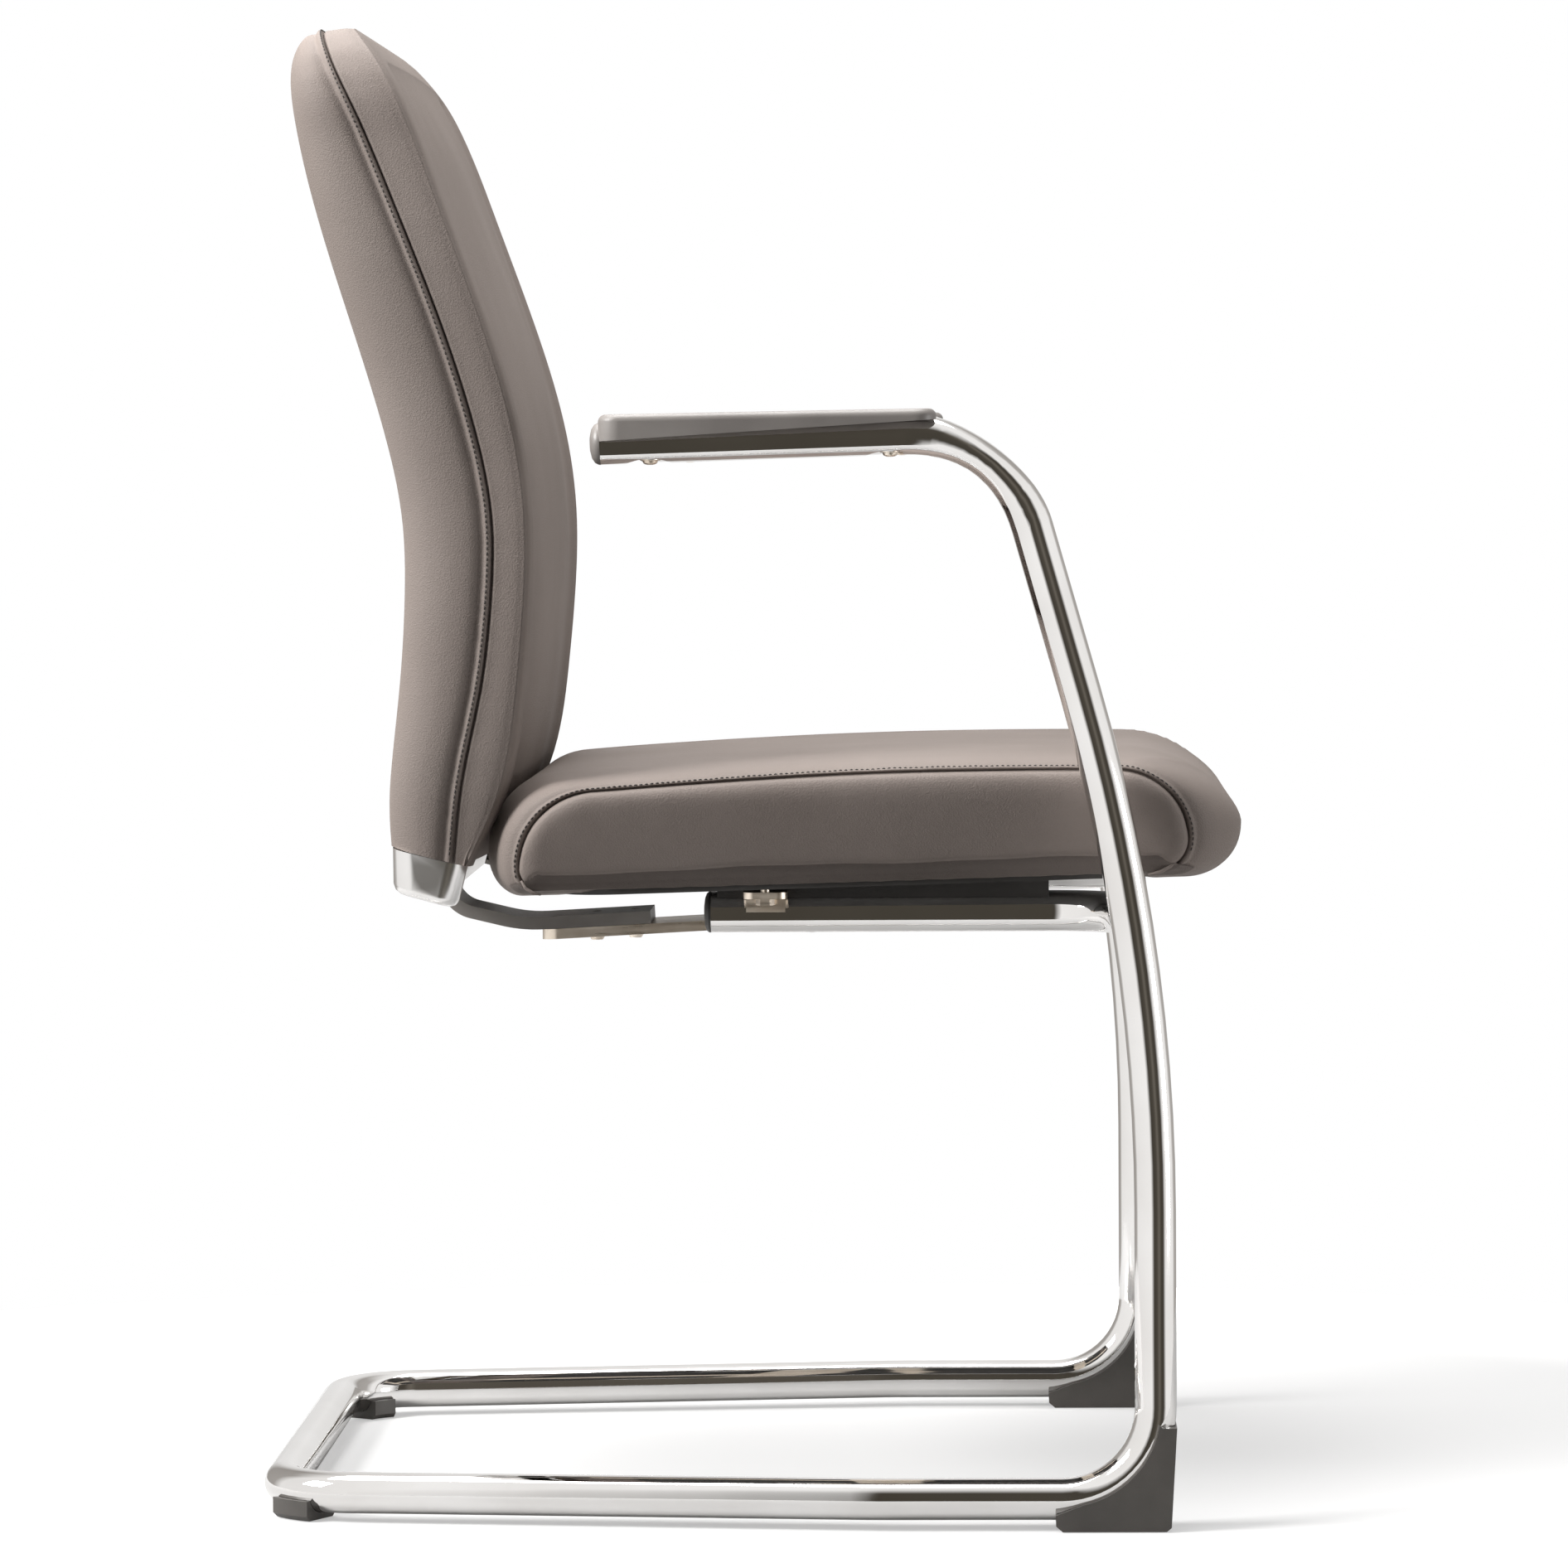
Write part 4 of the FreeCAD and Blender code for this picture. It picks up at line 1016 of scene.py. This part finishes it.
# Studio: white floor and surround, three soft boxes, and dark and bright walls that only reflections show
studio = dict(
    ambient=0.12, ambientColour=(1.0, 0.985, 0.97), wallHigh=(0.60, 0.98), ceiling=(1.0, 0.99, 0.98),
    floorColour=(0.50, 0.497, 0.494), floorGlow=(0.42, 1.1), floorFade=(0.62, 0.96), floorShine=0.06,
    floorMiddle=(0.0, 0.2, -0.0005), floorHalf=(1.0, 0.75, 1.0), floorTurns=96)
softBoxes = (
    dict(name="overhead", place=(-0.22, 0.15, 2.5), size=1.7, power=66.0, aim=(0.0, 0.0, 0.4)),
    dict(name="left", place=(-2.5, -1.1, 2.2), size=1.3, power=164.0, aim=(-0.2, 0.0, 0.6)),
    dict(name="right", place=(2.8, -0.8, 0.4), size=1.0, power=28.0, aim=(0.2, 0.0, 0.45)),
)
# what the chrome mirrors at eye level: degrees from the camera's side towards +X, and colour
surround = ((-180, (0.88, 0.87, 0.86)), (-170, (0.80, 0.79, 0.78)), (-158, (0.36, 0.34, 0.32)),
            (-126, (0.42, 0.40, 0.38)), (-110, (0.93, 0.92, 0.91)), (-22, (1.0, 0.99, 0.98)),
            (-8, (0.060, 0.053, 0.042)), (8, (0.075, 0.066, 0.053)), (20, (0.150, 0.134, 0.112)),
            (32, (0.066, 0.058, 0.046)), (44, (0.062, 0.054, 0.044)), (58, (0.97, 0.96, 0.95)),
            (110, (0.95, 0.94, 0.93)), (126, (0.46, 0.44, 0.42)), (158, (0.40, 0.38, 0.36)),
            (170, (0.82, 0.81, 0.80)), (180, (0.88, 0.87, 0.86)))


def addSoftBox(box):
    data = bpy.data.lights.new(box["name"], "AREA")
    data.size = box["size"]
    data.energy = box["power"]
    lamp = addObject(box["name"], data)
    lamp.location = box["place"]
    lamp.rotation_euler = (Vector(box["aim"]) - Vector(box["place"])).to_track_quat("-Z", "Y").to_euler()


def clearNodes(owner):
    owner.use_nodes = True
    owner.node_tree.nodes.clear()
    return owner.node_tree


def shinyRays(tree, rays):
    return mathNode(tree, "MAXIMUM", rays["Is Glossy Ray"], rays["Is Transmission Ray"])


def buildWorld():
    # white for the camera, the surround for what mirrors, and a faint even light for the rest
    world = bpy.data.worlds.new("studio")
    bpy.context.scene.world = world
    tree = clearNodes(world)
    rays = addNode(tree, "LightPath").outputs
    way = addNode(tree, "SeparateXYZ", {"Vector": addNode(tree, "TexCoord").outputs["Generated"]}).outputs
    turn = mathNode(tree, "ARCTAN2", way["X"], mathNode(tree, "MULTIPLY", way["Y"], -1.0))
    turn = mathNode(tree, "MULTIPLY_ADD", turn, 0.5 / math.pi, 0.5)
    walls = colourRamp(tree, turn, [(angle / 360 + 0.5, colour) for angle, colour in surround])
    high = spread(tree, way["Z"], (0.0, 1.0), studio["wallHigh"], "SMOOTHSTEP")
    inputs = {"A": walls, "B": (*studio["ceiling"], 1), "Factor": high}
    room = addNode(tree, "Mix", inputs, data_type="RGBA").outputs["Result"]
    lights = [((*studio["ambientColour"], 1), studio["ambient"]), (room, 1.0), ((1, 1, 1, 1), 1.0)]
    ambient, mirrored, white = (
        addNode(tree, "Background", {"Color": colour, "Strength": strength}).outputs["Background"]
        for colour, strength in lights)
    unseen = addNode(tree, "MixShader", {"Fac": shinyRays(tree, rays), 1: ambient, 2: mirrored})
    inputs = {"Fac": rays["Is Camera Ray"], 1: unseen.outputs["Shader"], 2: white}
    addNode(tree, "OutputWorld", {"Surface": addNode(tree, "MixShader", inputs).outputs["Shader"]})


def buildFloor():
    count = studio["floorTurns"]
    turns = [2 * math.pi * k / count for k in range(count)]
    mesh = bpy.data.meshes.new("studio_floor")
    mesh.from_pydata([(math.cos(t), math.sin(t), 0) for t in turns], [], [tuple(range(count))])
    floor = addObject("studio_floor", mesh)
    floor.location = studio["floorMiddle"]
    floor.scale = studio["floorHalf"]
    material = bpy.data.materials.new("white_floor")
    mesh.materials.append(material)
    tree = clearNodes(material)
    rays = addNode(tree, "LightPath").outputs
    # the glow grows away from the chair, so that the floor runs out into the white surround
    place = addNode(tree, "TexCoord").outputs["Object"]
    reach = addNode(tree, "VectorMath", {0: place}, operation="LENGTH").outputs["Value"]
    fade = spread(tree, reach, studio["floorGlow"], studio["floorFade"], "SMOOTHSTEP")
    seen = mathNode(tree, "MULTIPLY", rays["Is Camera Ray"], fade)
    strength = mathNode(tree, "MULTIPLY_ADD", shinyRays(tree, rays), studio["floorShine"], seen)
    glow = addNode(tree, "Emission", {"Strength": strength}).outputs["Emission"]
    matt = addNode(tree, "BsdfDiffuse", {"Color": (*studio["floorColour"], 1)}).outputs["BSDF"]
    both = addNode(tree, "AddShader", {0: matt, 1: glow}).outputs["Shader"]
    addNode(tree, "OutputMaterial", {"Surface": both})


for softBox in softBoxes:
    addSoftBox(softBox)
buildWorld()
buildFloor()
bpy.context.scene.view_settings.view_transform = "Standard"
print("studio lit")
